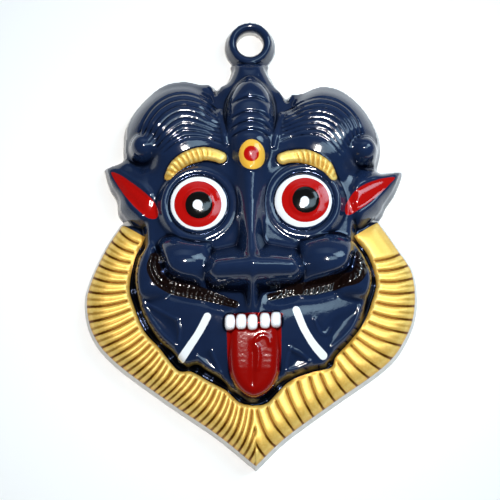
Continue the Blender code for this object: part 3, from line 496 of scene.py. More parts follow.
# %% Hood and hair lobes
HOOD_BOTTOM = 50.0
HOOD_RISE = 5.5
HOOD_ROLL = 7.0
LOBE_LEVEL = 18.0
LOBE_MIDDLES = ((181, 136), (321, 138))
LOBE_RADIUS = 22.0
LOBE_RISE = 15.0
LOBE_ROLL = 7.0
LOBE_SEAM_DROP = 2.2
LOBE_SEAM = 3.0
LOBE_FILLET = 1.2
NOTCHES = ((215, 92), (288, 101))
NOTCH_DIP = 0.6
NOTCH_WIDTH = 5.0
SEAM_LINES = (((219.5, 108), (222, 122), (226, 145)), ((282, 112), (278, 128), (274, 148)))
SEAMS = [stroke(line, LOBE_LEVEL) for line in SEAM_LINES]


def hood(x, y, edge):
    """A low roll behind the horn, under the loop."""
    low = np.where(y > HOOD_BOTTOM, EDGE, OUTSIDE)
    return low + HOOD_RISE * crown((edge - DRAFT) / HOOD_ROLL)


def lobe(x, y, form, middle, notch, seam, edge):
    """A bun of hair: a dome that falls away to the outer edge, and a little to its seam with the horn."""
    dome = bead(np.hypot(x - middle[0], y - middle[1]) / LOBE_RADIUS)
    dip = NOTCH_DIP * swell(np.hypot(x - notch[0], y - notch[1]) / NOTCH_WIDTH)
    rise = LOBE_RISE * dome * crown((edge - DRAFT) / LOBE_ROLL) * (1 - dip)
    drop = LOBE_SEAM_DROP * (1 - crown(seam.measure(x, y)[0] / LOBE_SEAM))
    return np.where(form.inside(x, y) > 0, EDGE + rise - drop, OUTSIDE)


print("The seams beside the horn are", [round(seam.total, 1) for seam in SEAMS], "mm long")

# %% [markdown]
# The locks of hair are grooves that run round each lobe and end in a small knob. Only the outermost
# and the innermost lock are drawn. Between them the grooves share out the distance evenly, as the
# teeth of a comb do, so the others need no line of their own and never cross. The knob is half a
# ball in a crease, with a hollow below it.

# %% Locks and knobs
LOCKS = 9
LOCK_DEPTH = 0.95
LOCK_BORDER = 1.6
LOCK_END = 4.0
LOCK_OUTERS = (
    ((223, 106), (214, 96), (200, 89), (184, 85.5), (166, 89), (150, 100), (140, 115), (134, 131)),
    ((281, 106), (292, 99), (305, 93.5), (320, 90.5), (338, 94), (352, 103), (362, 116), (367, 133)),
)
LOCK_INNERS = (
    ((227, 152), (217, 147.5), (205, 143.5), (190, 144.5), (177, 150), (165, 158)),
    ((278, 149), (291, 142.5), (305, 140.5), (318, 143), (328, 149), (338, 160)),
)
SEAM_HALF_WIDTH = 0.9
SEAM_RISE = 0.6
SEAM_CLEAR = 3.0
KNOBS = ((143, 144), (365, 147))
KNOB_LEVEL = 18.0
KNOB_RADIUS = 5.2
KNOB_FOOT = 12.5
KNOB_RISE = 6.8
KNOB_CREASE = 1.2
KNOB_CREASE_HALF_WIDTH = 0.25
KNOB_HOLLOW = 3.0
KNOB_HOLLOW_HALF = (5.5, 3.4)
KNOB_HOLLOW_BELOW = 6.0


def locks(x, y, outer, inner):
    """Grooves between locks of hair, evenly spread between the outermost and the innermost one."""
    whole = Line(np.vstack((outer.points, inner.points[::-1])), True)
    out_gap, in_gap = outer.measure(x, y, LOBE_RADIUS)[0], inner.measure(x, y, LOBE_RADIUS)[0]
    part = (LOCKS * out_gap / (out_gap + in_gap)) % 1.0
    groove = 1 - crown(2 * np.minimum(part, 1 - part))
    return -LOCK_DEPTH * groove * ease(whole.inside(x, y) / LOCK_BORDER)


def knob(x, y, middle, ground):
    """A bun of hair at the end of the locks, with a crease round it and a hollow under it."""
    dx, dy = x - middle[0], y - middle[1]
    away = np.hypot(dx, dy) / KNOB_RADIUS
    under = np.hypot(dx / KNOB_HOLLOW_HALF[0], (dy + KNOB_HOLLOW_BELOW) / KNOB_HOLLOW_HALF[1])
    ground = ground - KNOB_HOLLOW * swell(under) - KNOB_CREASE * swell((away - 1) / KNOB_CREASE_HALF_WIDTH)
    return np.where(away < 1, np.maximum(ground, KNOB_FOOT + KNOB_RISE * bead(away)), ground)


print(LOCKS, "locks on each lobe")

# %% [markdown]
# Between the lobes a horn of rounded segments rises from the forehead to the hood. It is a pad
# whose ridge and sides get lower towards the top. Each segment ends in an arched step, sharp on one
# side and soft on the other, as if the next one were pushed into it.

# %% The horn
HORN = (
    (250, 73), (241, 79), (234, 88), (229, 100), (227.5, 120), (230, 145), (238, 168),
    (263, 168), (271, 145), (273, 120), (271.5, 100), (267, 88), (259, 79),
)
HORN_LEVEL = 16.0
HORN_SHAPE = shape(HORN, HORN_LEVEL)
HORN_MARKS = (30, 45, 58, 66)
HORN_SIDES = (19, 16.5, 13, 9)
HORN_RIDGE = (24.5, 22.5, 18.5, 12)
HORN_ROLL = 7.5
HORN_FILLET = 0.8
SEGMENT_GROOVES = ((250.5, 95), (250.5, 111), (250.5, 121), (250.5, 130))
SEGMENT_LEVEL = 21.0
SEGMENT_DEPTH = 0.9
SEGMENT_ARCH = 0.045
SEGMENT_HALF_WIDTH = 0.8
SEGMENT_FADE = 0.6
SEGMENT_BORDER = 2.0


def horn(x, y):
    """The centre horn between the lobes."""
    side, top = np.interp(y, HORN_MARKS, HORN_SIDES), np.interp(y, HORN_MARKS, HORN_RIDGE)
    return pad(HORN_SHAPE, x, y, HORN_ROLL, side, top)


def segments(x, y):
    """How deep the arched grooves across the horn are. Each falls sharply from the segment above it."""
    depth = np.zeros(x.shape)
    for spot in SEGMENT_GROOVES:
        middle = place(spot, SEGMENT_LEVEL)[0]
        below = (middle[1] - SEGMENT_ARCH * (x - middle[0]) ** 2 - y) / SEGMENT_HALF_WIDTH
        depth = np.maximum(depth, ease(2 * below + 1) * swell(SEGMENT_FADE * below))
    return SEGMENT_DEPTH * depth * ease(HORN_SHAPE.inside(x, y) / SEGMENT_BORDER)


print("The horn has", len(SEGMENT_GROOVES) + 1, "segments")

# %% [markdown]
# Each ear is a leaf that rises from its tip to the head. Inside it lies a fuller leaf, painted red,
# with a thin rim round it. The rim is a bead at a fixed distance outside the inner leaf, so one
# outline gives both.

# %% Ears
EAR_LEAF_LEFT = (
    (111, 172), (121, 176.3), (132.6, 184.9), (145.4, 195.5), (156, 206.2), (160, 217), (156.5, 222.3),
    (147.6, 220), (137, 210.5), (126.2, 197.7), (117.5, 184.9),
)
EAR_LEAF_RIGHT = (
    (395, 177), (380, 180.5), (366, 186.5), (354, 194.5), (346, 205), (343.5, 213.5), (346.5, 218.5),
    (357, 213.5), (368, 205.5), (379, 195.5), (389.5, 184.5),
)
EAR_LEVEL = 9.0
LEAF_SHAPES = [shape(points, EAR_LEVEL) for points in (EAR_LEAF_LEFT, EAR_LEAF_RIGHT)]
EAR_TIPS = (-53.0, 56.0)
EAR_LENGTH = 19.0
EAR_TIP_RISE = 1.2
EAR_RISE = 10.0
EAR_ROLL = 3.5
EAR_RIM_RISE = 1.0
EAR_RIM_OUTSET = 0.9
EAR_RIM_HALF_WIDTH = 1.1
EAR_LEAF_DROP = 1.0
EAR_LEAF_RISE = 1.3
EAR_LEAF_ROLL = 2.6


def ear(x, y, form, leaf, tip_x):
    """A leaf that rises from its tip to the head, with a rim round a fuller inner leaf."""
    inside = form.inside(x, y)
    rise = EAR_TIP_RISE + EAR_RISE * unit(np.abs(x - tip_x) / EAR_LENGTH)
    body = np.where(inside > 0, EDGE + rise * crown((inside - DRAFT) / EAR_ROLL), OUTSIDE)
    leaf_inside = leaf.inside(x, y)
    rim = EAR_RIM_RISE * bead(unit(np.abs(leaf_inside + EAR_RIM_OUTSET) / EAR_RIM_HALF_WIDTH))
    filled = EAR_LEAF_RISE * crown(leaf_inside / EAR_LEAF_ROLL) - EAR_LEAF_DROP
    return body + rim + np.where(leaf_inside > 0, filled, 0)


print("The inner leaves are", [round(2 * leaf.half[0], 1) for leaf in LEAF_SHAPES], "mm wide")

# %% [markdown]
# An eye is a ball with a low raised pupil, in a groove, inside a round socket. Spinning a profile
# would make one too. Here the profile is a height that goes by the distance from the eye's middle,
# and its outer part fades into whatever the face does there.

# %% Eyes
EYES = ((198.4, 203.6), (304, 200.4))
EYE_LEVEL = 20.5
EYE_RADIUS = 10.2
EYE_BALL = 11.4
EYE_FOOT = 18.0
EYE_RISE = 3.6
PUPIL_RADIUS = 5.1
PUPIL_STEP = 0.3
PUPIL_RISE = 0.45
SOCKET_RADIUS = 12.2
SOCKET_HALF_WIDTH = 1.3
SOCKET_FOOT = 19.0
SOCKET_RISE = 0.6
SOCKET_FADE = 3.2


def eye(x, y, middle, ground):
    """Eyeball with a raised pupil, in a groove, inside a socket ring that fades into the face."""
    away = np.hypot(x - middle[0], y - middle[1])
    ball = EYE_FOOT + EYE_RISE * bead(unit(away / EYE_BALL))
    ball = ball + np.where(away < PUPIL_RADIUS, PUPIL_STEP + PUPIL_RISE * bead(unit(away / PUPIL_RADIUS)), 0)
    ring = SOCKET_FOOT + SOCKET_RISE * bead(unit(np.abs(away - SOCKET_RADIUS) / SOCKET_HALF_WIDTH))
    height = np.where(away < EYE_RADIUS, ball, ring)
    return height + (ground - height) * ease((away - SOCKET_RADIUS) / SOCKET_FADE)


print("Eyes", round(float(np.ptp(place(EYES, EYE_LEVEL)[:, 0])), 1), "mm apart")

# %% [markdown]
# The nose is a broad roll across the face, soft above and crisp below. The bridge above it and the
# column of the lip below are saddles: soft ridges along a line, with a crest that is given at a few
# marks. They run out under the face on both sides, so nothing has to be joined by hand.

# %% Nose, bridge and lip
SADDLE_FOOT = 13.0
SADDLE_END = 0.01
SADDLE_REACH = 3
NOSE = ((219, 267.5), (236, 266), (252, 265.5), (270, 265), (290, 265.5))
NOSE_LEVEL = 27.0
NOSE_LINE = stroke(NOSE, NOSE_LEVEL)
NOSE_MARKS = (0, 0.25, 0.5, 0.75, 1)
NOSE_CREST = (31.0, 32.2, 33.0, 32.2, 31.0)
NOSE_WIDTHS = (5.7, 6.3, 6.6, 6.3, 5.5)
NOSE_UNDERSIDE = 20.0
NOSE_SOFT_SPREAD = 0.8
NOSE_REACH = 2.5
NOSE_FILLET = 2.6
BRIDGE = ((250.5, 165), (250.5, 200), (251, 230), (252.5, 264))
BRIDGE_LEVEL = 25.0
BRIDGE_LINE = stroke(BRIDGE, BRIDGE_LEVEL)
BRIDGE_MARKS = (0, 0.35, 0.7, 1)
BRIDGE_CREST = (24.0, 24.2, 27.0, 32)
BRIDGE_WIDTHS = (8.0, 6.0, 4.6, 7.5)
BRIDGE_FILLET = 3.2
LIP = ((252.5, 276), (252.5, 296), (252.5, 311))
LIP_LINE = stroke(LIP, BRIDGE_LEVEL)
LIP_MARKS = (0, 0.55, 1)
LIP_CREST = (31.0, 25.0, 20.5)
LIP_WIDTHS = (3.6, 2.4, 3.0)
LIP_FILLET = 2.0
NOSTRILS = ((234, 289.5), (271.5, 287))
NOSTRIL_HALF = (3.4, 1.6)
NOSTRIL_DEPTH = 1.2


def saddle(line, x, y, marks, crests, widths):
    """A soft ridge along a line, which runs out under the face on both sides."""
    gap, share, _ = line.measure(x, y, SADDLE_REACH * max(widths))
    fullness = swell(gap / np.interp(share, marks, widths))
    height = SADDLE_FOOT + (np.interp(share, marks, crests) - SADDLE_FOOT) * fullness
    return np.where(fullness > SADDLE_END, height, OUTSIDE)


def nose(x, y, ground):
    """The ground with the bridge, the lip's column and the nostrils, and the nose's roll laid across."""
    bridge = saddle(BRIDGE_LINE, x, y, BRIDGE_MARKS, BRIDGE_CREST, BRIDGE_WIDTHS)
    column = saddle(LIP_LINE, x, y, LIP_MARKS, LIP_CREST, LIP_WIDTHS)
    ground = merge(merge(ground, bridge, BRIDGE_FILLET), column, LIP_FILLET)
    for middle in place(NOSTRILS, BRIDGE_LEVEL):
        away = np.hypot((x - middle[0]) / NOSTRIL_HALF[0], (y - middle[1]) / NOSTRIL_HALF[1])
        ground = ground - NOSTRIL_DEPTH * swell(away)
    gap, share, side = NOSE_LINE.measure(x, y, SADDLE_REACH * max(NOSE_WIDTHS))
    away = gap / np.interp(share, NOSE_MARKS, NOSE_WIDTHS)
    crest = np.interp(share, NOSE_MARKS, NOSE_CREST)
    above = ease(0.5 + side * away)
    soft = SADDLE_FOOT + (crest - SADDLE_FOOT) * swell(away * NOSE_SOFT_SPREAD)
    crisp = np.where(away < 1, NOSE_UNDERSIDE + (crest - NOSE_UNDERSIDE) * crown(1 - away), SADDLE_FOOT)
    wings = np.where(away < NOSE_REACH, crisp + (soft - crisp) * above, OUTSIDE)
    return merge(ground, wings, NOSE_FILLET)


print("The nose's crest is", max(NOSE_CREST), "mm high")

# %% [markdown]
# Full cheeks run out softly under the eyes and end in a crisp edge above the moustache. Beside them
# lower swellings fill the corners, and shallow facets are cut into the lower face, each with a fine
# raised edge that catches the light. All are closed outlines with a rounded border, so they need no
# meshes of their own.

# %% Cheeks and facets
CHEEK_LEFT = (
    (158, 246), (160, 236), (177, 231), (197, 232), (211, 242), (211, 262), (207, 278), (204, 288.5),
    (196, 281), (181, 278), (169, 271.5), (163.5, 262),
)
CHEEK_RIGHT = (
    (355, 247), (353, 236), (335, 230), (314, 231), (300, 241), (300, 262), (302, 278), (297, 289),
    (310, 281), (328, 276.5), (344, 270), (351, 261),
)
CHEEK_LEVEL = 24.0
CHEEK_SHAPES = [shape(points, CHEEK_LEVEL) for points in (CHEEK_LEFT, CHEEK_RIGHT)]
CHEEK_MIDDLES = ((184, 261), (328, 259))
CHEEK_HALF = (12.5, 9.5)
CHEEK_TOP = 27.5
CHEEK_FALL = 7.0
CHEEK_UNDERSIDE = 19.5
CHEEK_ROLL = 1.5
CHEEK_FILLET = 2.5
OUTER_CHEEK_LEFT = ((150, 240), (138, 258), (134, 276), (138, 296), (156, 299), (170, 292), (160, 262))
OUTER_CHEEK_RIGHT = ((352, 238), (366, 254), (374, 275), (369, 295), (352, 297), (336, 292), (348, 262))
OUTER_CHEEK_LEVEL = 18.0
OUTER_CHEEK_SHAPES = [shape(points, OUTER_CHEEK_LEVEL) for points in (OUTER_CHEEK_LEFT, OUTER_CHEEK_RIGHT)]
OUTER_CHEEK_TOP = 19.5
OUTER_CHEEK_FOOT = 14.5
OUTER_CHEEK_ROLL = 6.0
OUTER_CHEEK_FILLET = 1.0
FACETS = (
    ((143, 303), (160, 311), (178, 321), (179, 341), (164, 336), (151, 319)),
    ((197, 356), (204, 350), (212, 350), (217, 363), (222, 374), (208, 365.5)),
    ((360, 307), (337, 312), (323, 330), (332, 347), (345, 335), (354, 323)),
    ((286, 371), (288, 358), (290, 347), (303, 354), (311, 361.5), (300, 366)),
)
FACET_LEVEL = 15.0
FACET_SHAPES = [shape(points, FACET_LEVEL) for points in FACETS]
FACET_DEPTH = 1.0
FACET_ROLL = 3.0
FACET_EDGES = (
    ((143, 302), (160, 311), (177.5, 320.4)), ((143, 302), (151, 319), (164, 336), (176, 346)),
    ((177.5, 320.4), (180, 331), (179, 341)), ((196.5, 356), (207, 365.5), (222, 374)),
    ((211.5, 351), (216, 362), (222, 374)), ((360.4, 306.5), (355, 322.6), (346, 335), (332, 347)),
    ((290, 348.6), (287, 360), (286, 371)), ((290, 348.6), (301, 354), (310.7, 361.6)),
    ((286, 371), (298, 368), (310.7, 361.6)), ((314.5, 320), (320, 332), (326, 334), (330, 328)),
)
FACET_EDGE_LINES = [stroke(points, FACET_LEVEL) for points in FACET_EDGES]
FACET_EDGE_HALF_WIDTH = 0.6
FACET_EDGE_RISE = 0.45


def cheek(x, y, form, middle):
    """A full cheek: a dome that runs out under the eye, cut by a crisp edge down to the moustache."""
    dx, dy = (x - middle[0]) / CHEEK_HALF[0], (y - middle[1]) / CHEEK_HALF[1]
    underside = CHEEK_UNDERSIDE - CHEEK_FALL * (dy > 0)
    return pad(form, x, y, CHEEK_ROLL, underside, CHEEK_TOP - CHEEK_FALL * (dx**2 + dy**2))


print(len(FACETS), "facets with", len(FACET_EDGES), "raised edges")

# %% [markdown]
# The brows are cords laid on the face. A screw modifier would twist a real rope, but these are
# shallow carvings: a rounded ridge with grooves across it, repeated at a pitch and slanted by a
# lean. The same function makes the moustache, where one side has two strands of scallops. The bindi
# between the brows is a low oval.

# %% Brows and bindi
ROPE_EDGE = 0.6
BROW_LEFT = ((167.5, 173), (174, 164.5), (187, 156), (203, 151.5), (214, 153), (220.5, 155.5))
BROW_RIGHT = ((334, 174), (327, 164.5), (315, 157.5), (303, 154), (290, 154.5), (283, 156.5))
BROW_LEVEL = 23.0
BROW_LINES = [stroke(points, BROW_LEVEL) for points in (BROW_LEFT, BROW_RIGHT)]
BROW_WIDTHS = ((0, 0.2, 0.6, 1), (1.5, 2.2, 2.45, 2.1))
BROW_ROLL = 1.5
BROW_RISE = 1.9
BROW_GROOVE = 0.95
BROW_GROOVED = 0.9
BROW_GROOVE_FADE = 3
BROW_PITCHES = (1.8, 1.95)
BROW_LEANS = (0.1, 0.45)
BINDI = (251.5, 153.5)
BINDI_LEVEL = 25.0
BINDI_HALF = (4.8, 5.7)
BINDI_RISE = 0.8
BINDI_ROUND = 3


def rope(line, x, y, widths, roll, pitch, lean, strands=1):
    """How full a grooved ridge is, from 0 at its sides to 1, how deep the cusps across it are, and the share
    of its length. With two strands the ridge is split along its middle, and the cusps alternate."""
    gap, share, side = line.measure(x, y)
    half = np.interp(share, *widths)
    body = crown((half - gap) / roll)
    if strands == 2:
        body = 1 - unit(np.abs(2 * gap / half - 1)) ** 2
    turn = (share * line.total + lean * gap * side) / pitch + 0.5 * (strands == 2) * (side > 0)
    return body, (2 * (turn % 1.0) - 1) ** 2 * crown((half - gap) / ROPE_EDGE), share


print("The brows are", [round(line.total, 1) for line in BROW_LINES], "mm long")

# %% [markdown]
# The moustache follows the lower edge of the cheeks. Beside and below it the face falls away, which
# lets the row of beads stand free without raising it much.

# %% Moustache
MOUSTACHE_LEFT = ((154, 256), (153, 267), (159, 278.5), (172, 286), (187, 289.5), (207, 294.5), (235, 303.5))
MOUSTACHE_RIGHT = (
    (361, 253), (362, 261.5), (361, 269), (356, 276), (344.5, 279),
    (329, 283), (313, 287), (296, 289), (271, 296),
)
MOUSTACHE_LEVEL = 21.0
MOUSTACHE_LINES = [stroke(points, MOUSTACHE_LEVEL) for points in (MOUSTACHE_LEFT, MOUSTACHE_RIGHT)]
MOUSTACHE_WIDTHS = ((0, 0.12, 0.6, 1), (1.5, 2.1, 2.1, 1.0))
MOUSTACHE_ROLL = 2.0
MOUSTACHE_RISE = 0.9
MOUSTACHE_GROOVE = 0.45
MOUSTACHE_PITCHES = (1.6, 2.05)
MOUSTACHE_LEANS = (0.3, -0.5)
MOUSTACHE_STRANDS = (2, 1)
MOUSTACHE_DROP = 2.4
MOUSTACHE_DROP_REACH = 3.2
MOUSTACHE_DROP_SHARES = ((0.0, 0.3, 0.9, 1.0), (0.2, 1, 1, 0.6))
MOUSTACHE_DROP_TOP = -2.0


def moustache_drop(x, y):
    """How far the face falls away beside and below the moustache."""
    drop = np.zeros(x.shape)
    for line in MOUSTACHE_LINES:
        gap, share, _ = line.measure(x, y)
        below = np.interp(share, *MOUSTACHE_DROP_SHARES)
        drop = np.maximum(drop, below * swell(gap / MOUSTACHE_DROP_REACH))
    return MOUSTACHE_DROP * drop * (y < MOUSTACHE_DROP_TOP)


beads = [int(line.total / pitch) for line, pitch in zip(MOUSTACHE_LINES, MOUSTACHE_PITCHES)]
print("Beads on each side:", beads)

# %% [markdown]
# The tongue is a long pad that hangs from the mouth and gets lower towards its end, with a groove
# down the middle, two fine ridges and a field of hardly visible ribs on either side. Such fine
# lines could be bump in the material, but here they catch the light, so they are geometry.

# %% Tongue
TONGUE = (
    (229, 315), (227, 322), (227, 343), (227.6, 360), (230, 374), (236, 386), (244.5, 394), (254, 397.2),
    (264, 394), (273, 386), (279, 374), (281, 360), (281.3, 343), (281, 320), (279, 313),
)
TONGUE_LEVEL = 18.0
TONGUE_SHAPE = shape(TONGUE, TONGUE_LEVEL)
TONGUE_MARKS = (-54, -44, -28)
TONGUE_CREST = (17.6, 19.0, 20.2)
TONGUE_FOOT = 14.0
TONGUE_ROLL = 3.6
TONGUE_FILLET = 0.3
TONGUE_GROOVE = (252.5, 357)
TONGUE_GROOVE_DEPTH = 0.45
TONGUE_GROOVE_HALF_WIDTH = 0.9
TONGUE_GROOVE_SPAN = (-52, -34)
TONGUE_GROOVE_FADES = (4, 3)
TONGUE_RIDGES = (
    ((254, 348), (256, 340), (262, 335.5), (268, 338), (270.5, 344)),
    ((257.5, 346), (258.5, 356), (257.5, 369)),
)
TONGUE_RIDGE_HALF_WIDTH = 0.7
TONGUE_RIDGE_RISE = 0.4
TONGUE_RIB_PITCH = 1.95
TONGUE_RIB_DEPTH = 0.045
TONGUE_RIB_SPAN = ((271, 348), (271, 380))
TONGUE_RIB_FADE = 3
TONGUE_RIB_FIELDS = (((271, 360), 8.0, 1.0), ((240, 360), 7.0, 0.5))


def tongue_groove(x, y):
    """How much the groove down the middle is cut, from 0 to 1."""
    middle = place(TONGUE_GROOVE, TONGUE_LEVEL)[0]
    groove = swell((x - middle[0]) / TONGUE_GROOVE_HALF_WIDTH)
    low, high = TONGUE_GROOVE_SPAN
    return groove * ease((y - low) / TONGUE_GROOVE_FADES[0]) * ease((high - y) / TONGUE_GROOVE_FADES[1])


def tongue(x, y):
    """A pad that gets lower towards its end, with a groove, two ridges and faint ribs."""
    body = pad(TONGUE_SHAPE, x, y, TONGUE_ROLL, TONGUE_FOOT, np.interp(y, TONGUE_MARKS, TONGUE_CREST))
    body = body - TONGUE_GROOVE_DEPTH * tongue_groove(x, y)
    for points in TONGUE_RIDGES:
        gap = stroke(points, TONGUE_LEVEL).measure(x, y)[0]
        body = body + TONGUE_RIDGE_RISE * bead(unit(gap / TONGUE_RIDGE_HALF_WIDTH))
    high, low = place(TONGUE_RIB_SPAN, TONGUE_LEVEL)[:, 1]
    part = ((high - y) / TONGUE_RIB_PITCH) % 1.0
    ribs_here = (1 - crown(2 * np.minimum(part, 1 - part))) * ease(high - y) * ease(y - low)
    for spot, half, strength in TONGUE_RIB_FIELDS:
        across = np.abs(x - place(spot, TONGUE_LEVEL)[0][0]) / (half * SQUARE)
        body = body - TONGUE_RIB_DEPTH * strength * ribs_here * ease(TONGUE_RIB_FADE * (1 - across))
    return body


print("The tongue is", round(2 * TONGUE_SHAPE.half[1], 1), "mm long")

# %% [markdown]
# Five upper teeth stand at the root of the tongue. A tooth is a rounded box. Five bevelled cubes
# would do, but then their feet would have to be cut into the tongue. A power of the two distances
# gives a rounded box as a height.

# %% Teeth
TEETH = ((230, 322.5), (241.1, 321.8), (252.6, 322.3), (264.8, 320.8), (275.8, 319.8))
TEETH_LEVEL = 19.0
TEETH_FOOT = 20.9
TEETH_RISE = 0.7
TOOTH_HALF_SIZE = (1.7, 2.6)
TOOTH_POWER = 3.5
TOOTH_ROLL = 0.35
TOOTH_FILLET = 0.2


def tooth_inside(x, y, spot):
    """How far a place is inside a tooth, a rounded box, as a share of its half width."""
    middle = place(spot, TEETH_LEVEL)[0]
    dx = np.abs(x - middle[0]) / TOOTH_HALF_SIZE[0]
    dy = np.abs(y - middle[1]) / TOOTH_HALF_SIZE[1]
    return 1 - (dx**TOOTH_POWER + dy**TOOTH_POWER) ** (1 / TOOTH_POWER)


def tooth(x, y, spot):
    """The height of a tooth with rounded edges."""
    inside = tooth_inside(x, y, spot)
    return np.where(inside > 0, TEETH_FOOT + TEETH_RISE * crown(inside / TOOTH_ROLL), OUTSIDE)


print(len(TEETH), "teeth,", 2 * TOOTH_HALF_SIZE[0], "mm wide")

# %% [markdown]
# The mask hangs by a ring that is cast on with it. A torus would be round on both sides, but a
# casting's ring is flat behind, so this is the upper half of one, with its inner side drawn down a
# little further.

# %% The loop
LOOP_THICKNESS = 0.0072
LOOP_INNER_DROP = 1.6
LOOP_FILLET = 1.5


def loop(x, y):
    """The round ring of the hanging loop, its inner side lower than its outer one."""
    away = np.hypot(x - LOOP_X, y - LOOP_Y)
    middle, half = (RING - DRAFT + HOLE) / 2, (RING - DRAFT - HOLE) / 2
    foot = EDGE - LOOP_INNER_DROP * (away < middle)
    return foot + (LOOP_THICKNESS / DEPTH_SCALE - foot) * bead(unit(np.abs(away - middle) / half))


print("The loop is", 2 * LOOP_RADIUS, "m across, with a hole of", 2 * LOOP_HOLE_RADIUS, "m")

# %% [markdown]
# Carving goes from the large to the small. The broad forms come first, each above the last: where
# two meet, the higher one wins, with a small fillet, as clay does. Boolean unions would join
# meshes, but without the fillets.

# %% Broad forms together
FLOOR = 7.0
FLOOR_ROLL = 3.0


def broad_forms(x, y):
    """The dome of the face, the ruff's roll, ears, hood, lobes, horn and knobs, the cheeks and the nose."""
    edge = edge_distance(x, y)
    face = plate(x, y) - moustache_drop(x, y)
    for form in FACET_SHAPES:
        face = face - FACET_DEPTH * ease(form.inside(x, y) / FACET_ROLL)
    for form in OUTER_CHEEK_SHAPES:
        swelling = pad(form, x, y, OUTER_CHEEK_ROLL, OUTER_CHEEK_FOOT, OUTER_CHEEK_TOP)
        face = merge(face, swelling, OUTER_CHEEK_FILLET)
    ground = EDGE + (FLOOR - EDGE) * crown((edge - DRAFT) / FLOOR_ROLL)
    height = merge(np.maximum(ground, ruff(x, y, edge)), face, PLATE_FILLET)
    for form, leaf, tip_x in zip(SIDES[3:5], LEAF_SHAPES, EAR_TIPS):
        height = merge(height, ear(x, y, form, leaf, tip_x), SIDE_FILLET)
    height = merge(height, hood(x, y, edge), SIDE_FILLET)
    middles, notches = place(LOBE_MIDDLES, LOBE_LEVEL), place(NOTCHES, 0.0)
    for form, middle, notch, seam in zip(SIDES[:2], middles, notches, SEAMS):
        height = merge(height, lobe(x, y, form, middle, notch, seam, edge), LOBE_FILLET)
    height = merge(height, horn(x, y), HORN_FILLET)
    for middle in place(KNOBS, KNOB_LEVEL):
        height = knob(x, y, middle, height)
    for form, middle in zip(CHEEK_SHAPES, place(CHEEK_MIDDLES, CHEEK_LEVEL)):
        height = merge(height, cheek(x, y, form, middle), CHEEK_FILLET)
    return nose(x, y, height)


print("The ground between the forms is", FLOOR, "mm high")

# %% [markdown]
# The fine carving is cut into those forms or laid onto them. It takes their height as it finds it,
# so a groove is equally deep on a slope and on the crest. A sculptor's multiresolution brush does
# the same by hand. The loop comes last, and its foot grows out of the hood.

# %% Fine carving
def carved(x, y, edge, height):
    """The broad forms with the fine carving cut into them or laid onto them."""
    height = height + ribs(*rib_turns(x, y)) * on_ruff(x, y)
    for line in FACET_EDGE_LINES:
        height = height + FACET_EDGE_RISE * bead(unit(line.measure(x, y)[0] / FACET_EDGE_HALF_WIDTH))
    for seam, outer, inner in zip(SEAMS, LOCK_OUTERS, LOCK_INNERS):
        gap = seam.measure(x, y)[0]
        cut = locks(x, y, stroke(outer, LOBE_LEVEL), stroke(inner, LOBE_LEVEL))
        crest = SEAM_RISE * bead(unit(gap / SEAM_HALF_WIDTH))
        height = height + (cut * ease(gap / SEAM_CLEAR) + crest) * ease(edge / LOCK_END)
    height = height - segments(x, y)
    for middle in place(EYES, EYE_LEVEL):
        height = eye(x, y, middle, height)
    for line, pitch, lean in zip(BROW_LINES, BROW_PITCHES, BROW_LEANS):
        body, groove, share = rope(line, x, y, BROW_WIDTHS, BROW_ROLL, pitch, lean)
        grooved = ease(BROW_GROOVE_FADE * (BROW_GROOVED - share))
        height = height + BROW_RISE * body - BROW_GROOVE * groove * grooved
    for line, pitch, lean, strands in zip(
        MOUSTACHE_LINES, MOUSTACHE_PITCHES, MOUSTACHE_LEANS, MOUSTACHE_STRANDS
    ):
        body, groove, share = rope(line, x, y, MOUSTACHE_WIDTHS, MOUSTACHE_ROLL, pitch, lean, strands)
        height = height + MOUSTACHE_RISE * body - MOUSTACHE_GROOVE * groove
    bindi = place(BINDI, BINDI_LEVEL)[0]
    oval = np.hypot((x - bindi[0]) / BINDI_HALF[0], (y - bindi[1]) / BINDI_HALF[1])
    height = height + BINDI_RISE * crown(BINDI_ROUND * (1 - oval))
    height = merge(height, tongue(x, y), TONGUE_FILLET)
    for spot in TEETH:
        height = merge(height, tooth(x, y, spot), TOOTH_FILLET)
    foot = EDGE + (height - EDGE) * ease((LOOP_Y - HOLE - y) / (RING - HOLE))
    on_loop = (np.hypot(x - LOOP_X, y - LOOP_Y) < RING + SIDE_FILLET) & (y > LOOP_Y - RING)
    return np.where(on_loop, merge(loop(x, y), foot, LOOP_FILLET), height)


print("To be carved:", 2 * LOCKS, "locks,", len(SEGMENT_GROOVES), "arches and", len(FACET_EDGES), "edges")

# %% [markdown]
# The forms are worked out once on a fine lattice of points and read between them. That is quicker
# than asking each formula again for every vertex, and it allows two things that formulas don't:
# softening a relief a little, and comparing a place with its neighbourhood, which tells grooves
# from ridges.

# %% A map over the drawing
LATTICE = 0.25
LATTICE_LOW = (-62.5, -82.0)
LATTICE_SIZE = (500, 690)
BELL_REACH = 2.5


def softened(values, radius):
    """Values on the lattice blurred by a bell of the given radius in millimetres."""
    reach = math.ceil(BELL_REACH * radius / LATTICE)
    weights = np.exp(-0.5 * (np.arange(-reach, reach + 1) * LATTICE / radius) ** 2)
    weights = weights / weights.sum()
    for axis in (0, 1):
        rolled = [weight * np.roll(values, step, axis) for step, weight in enumerate(weights, -reach)]
        values = sum(rolled)
    return values


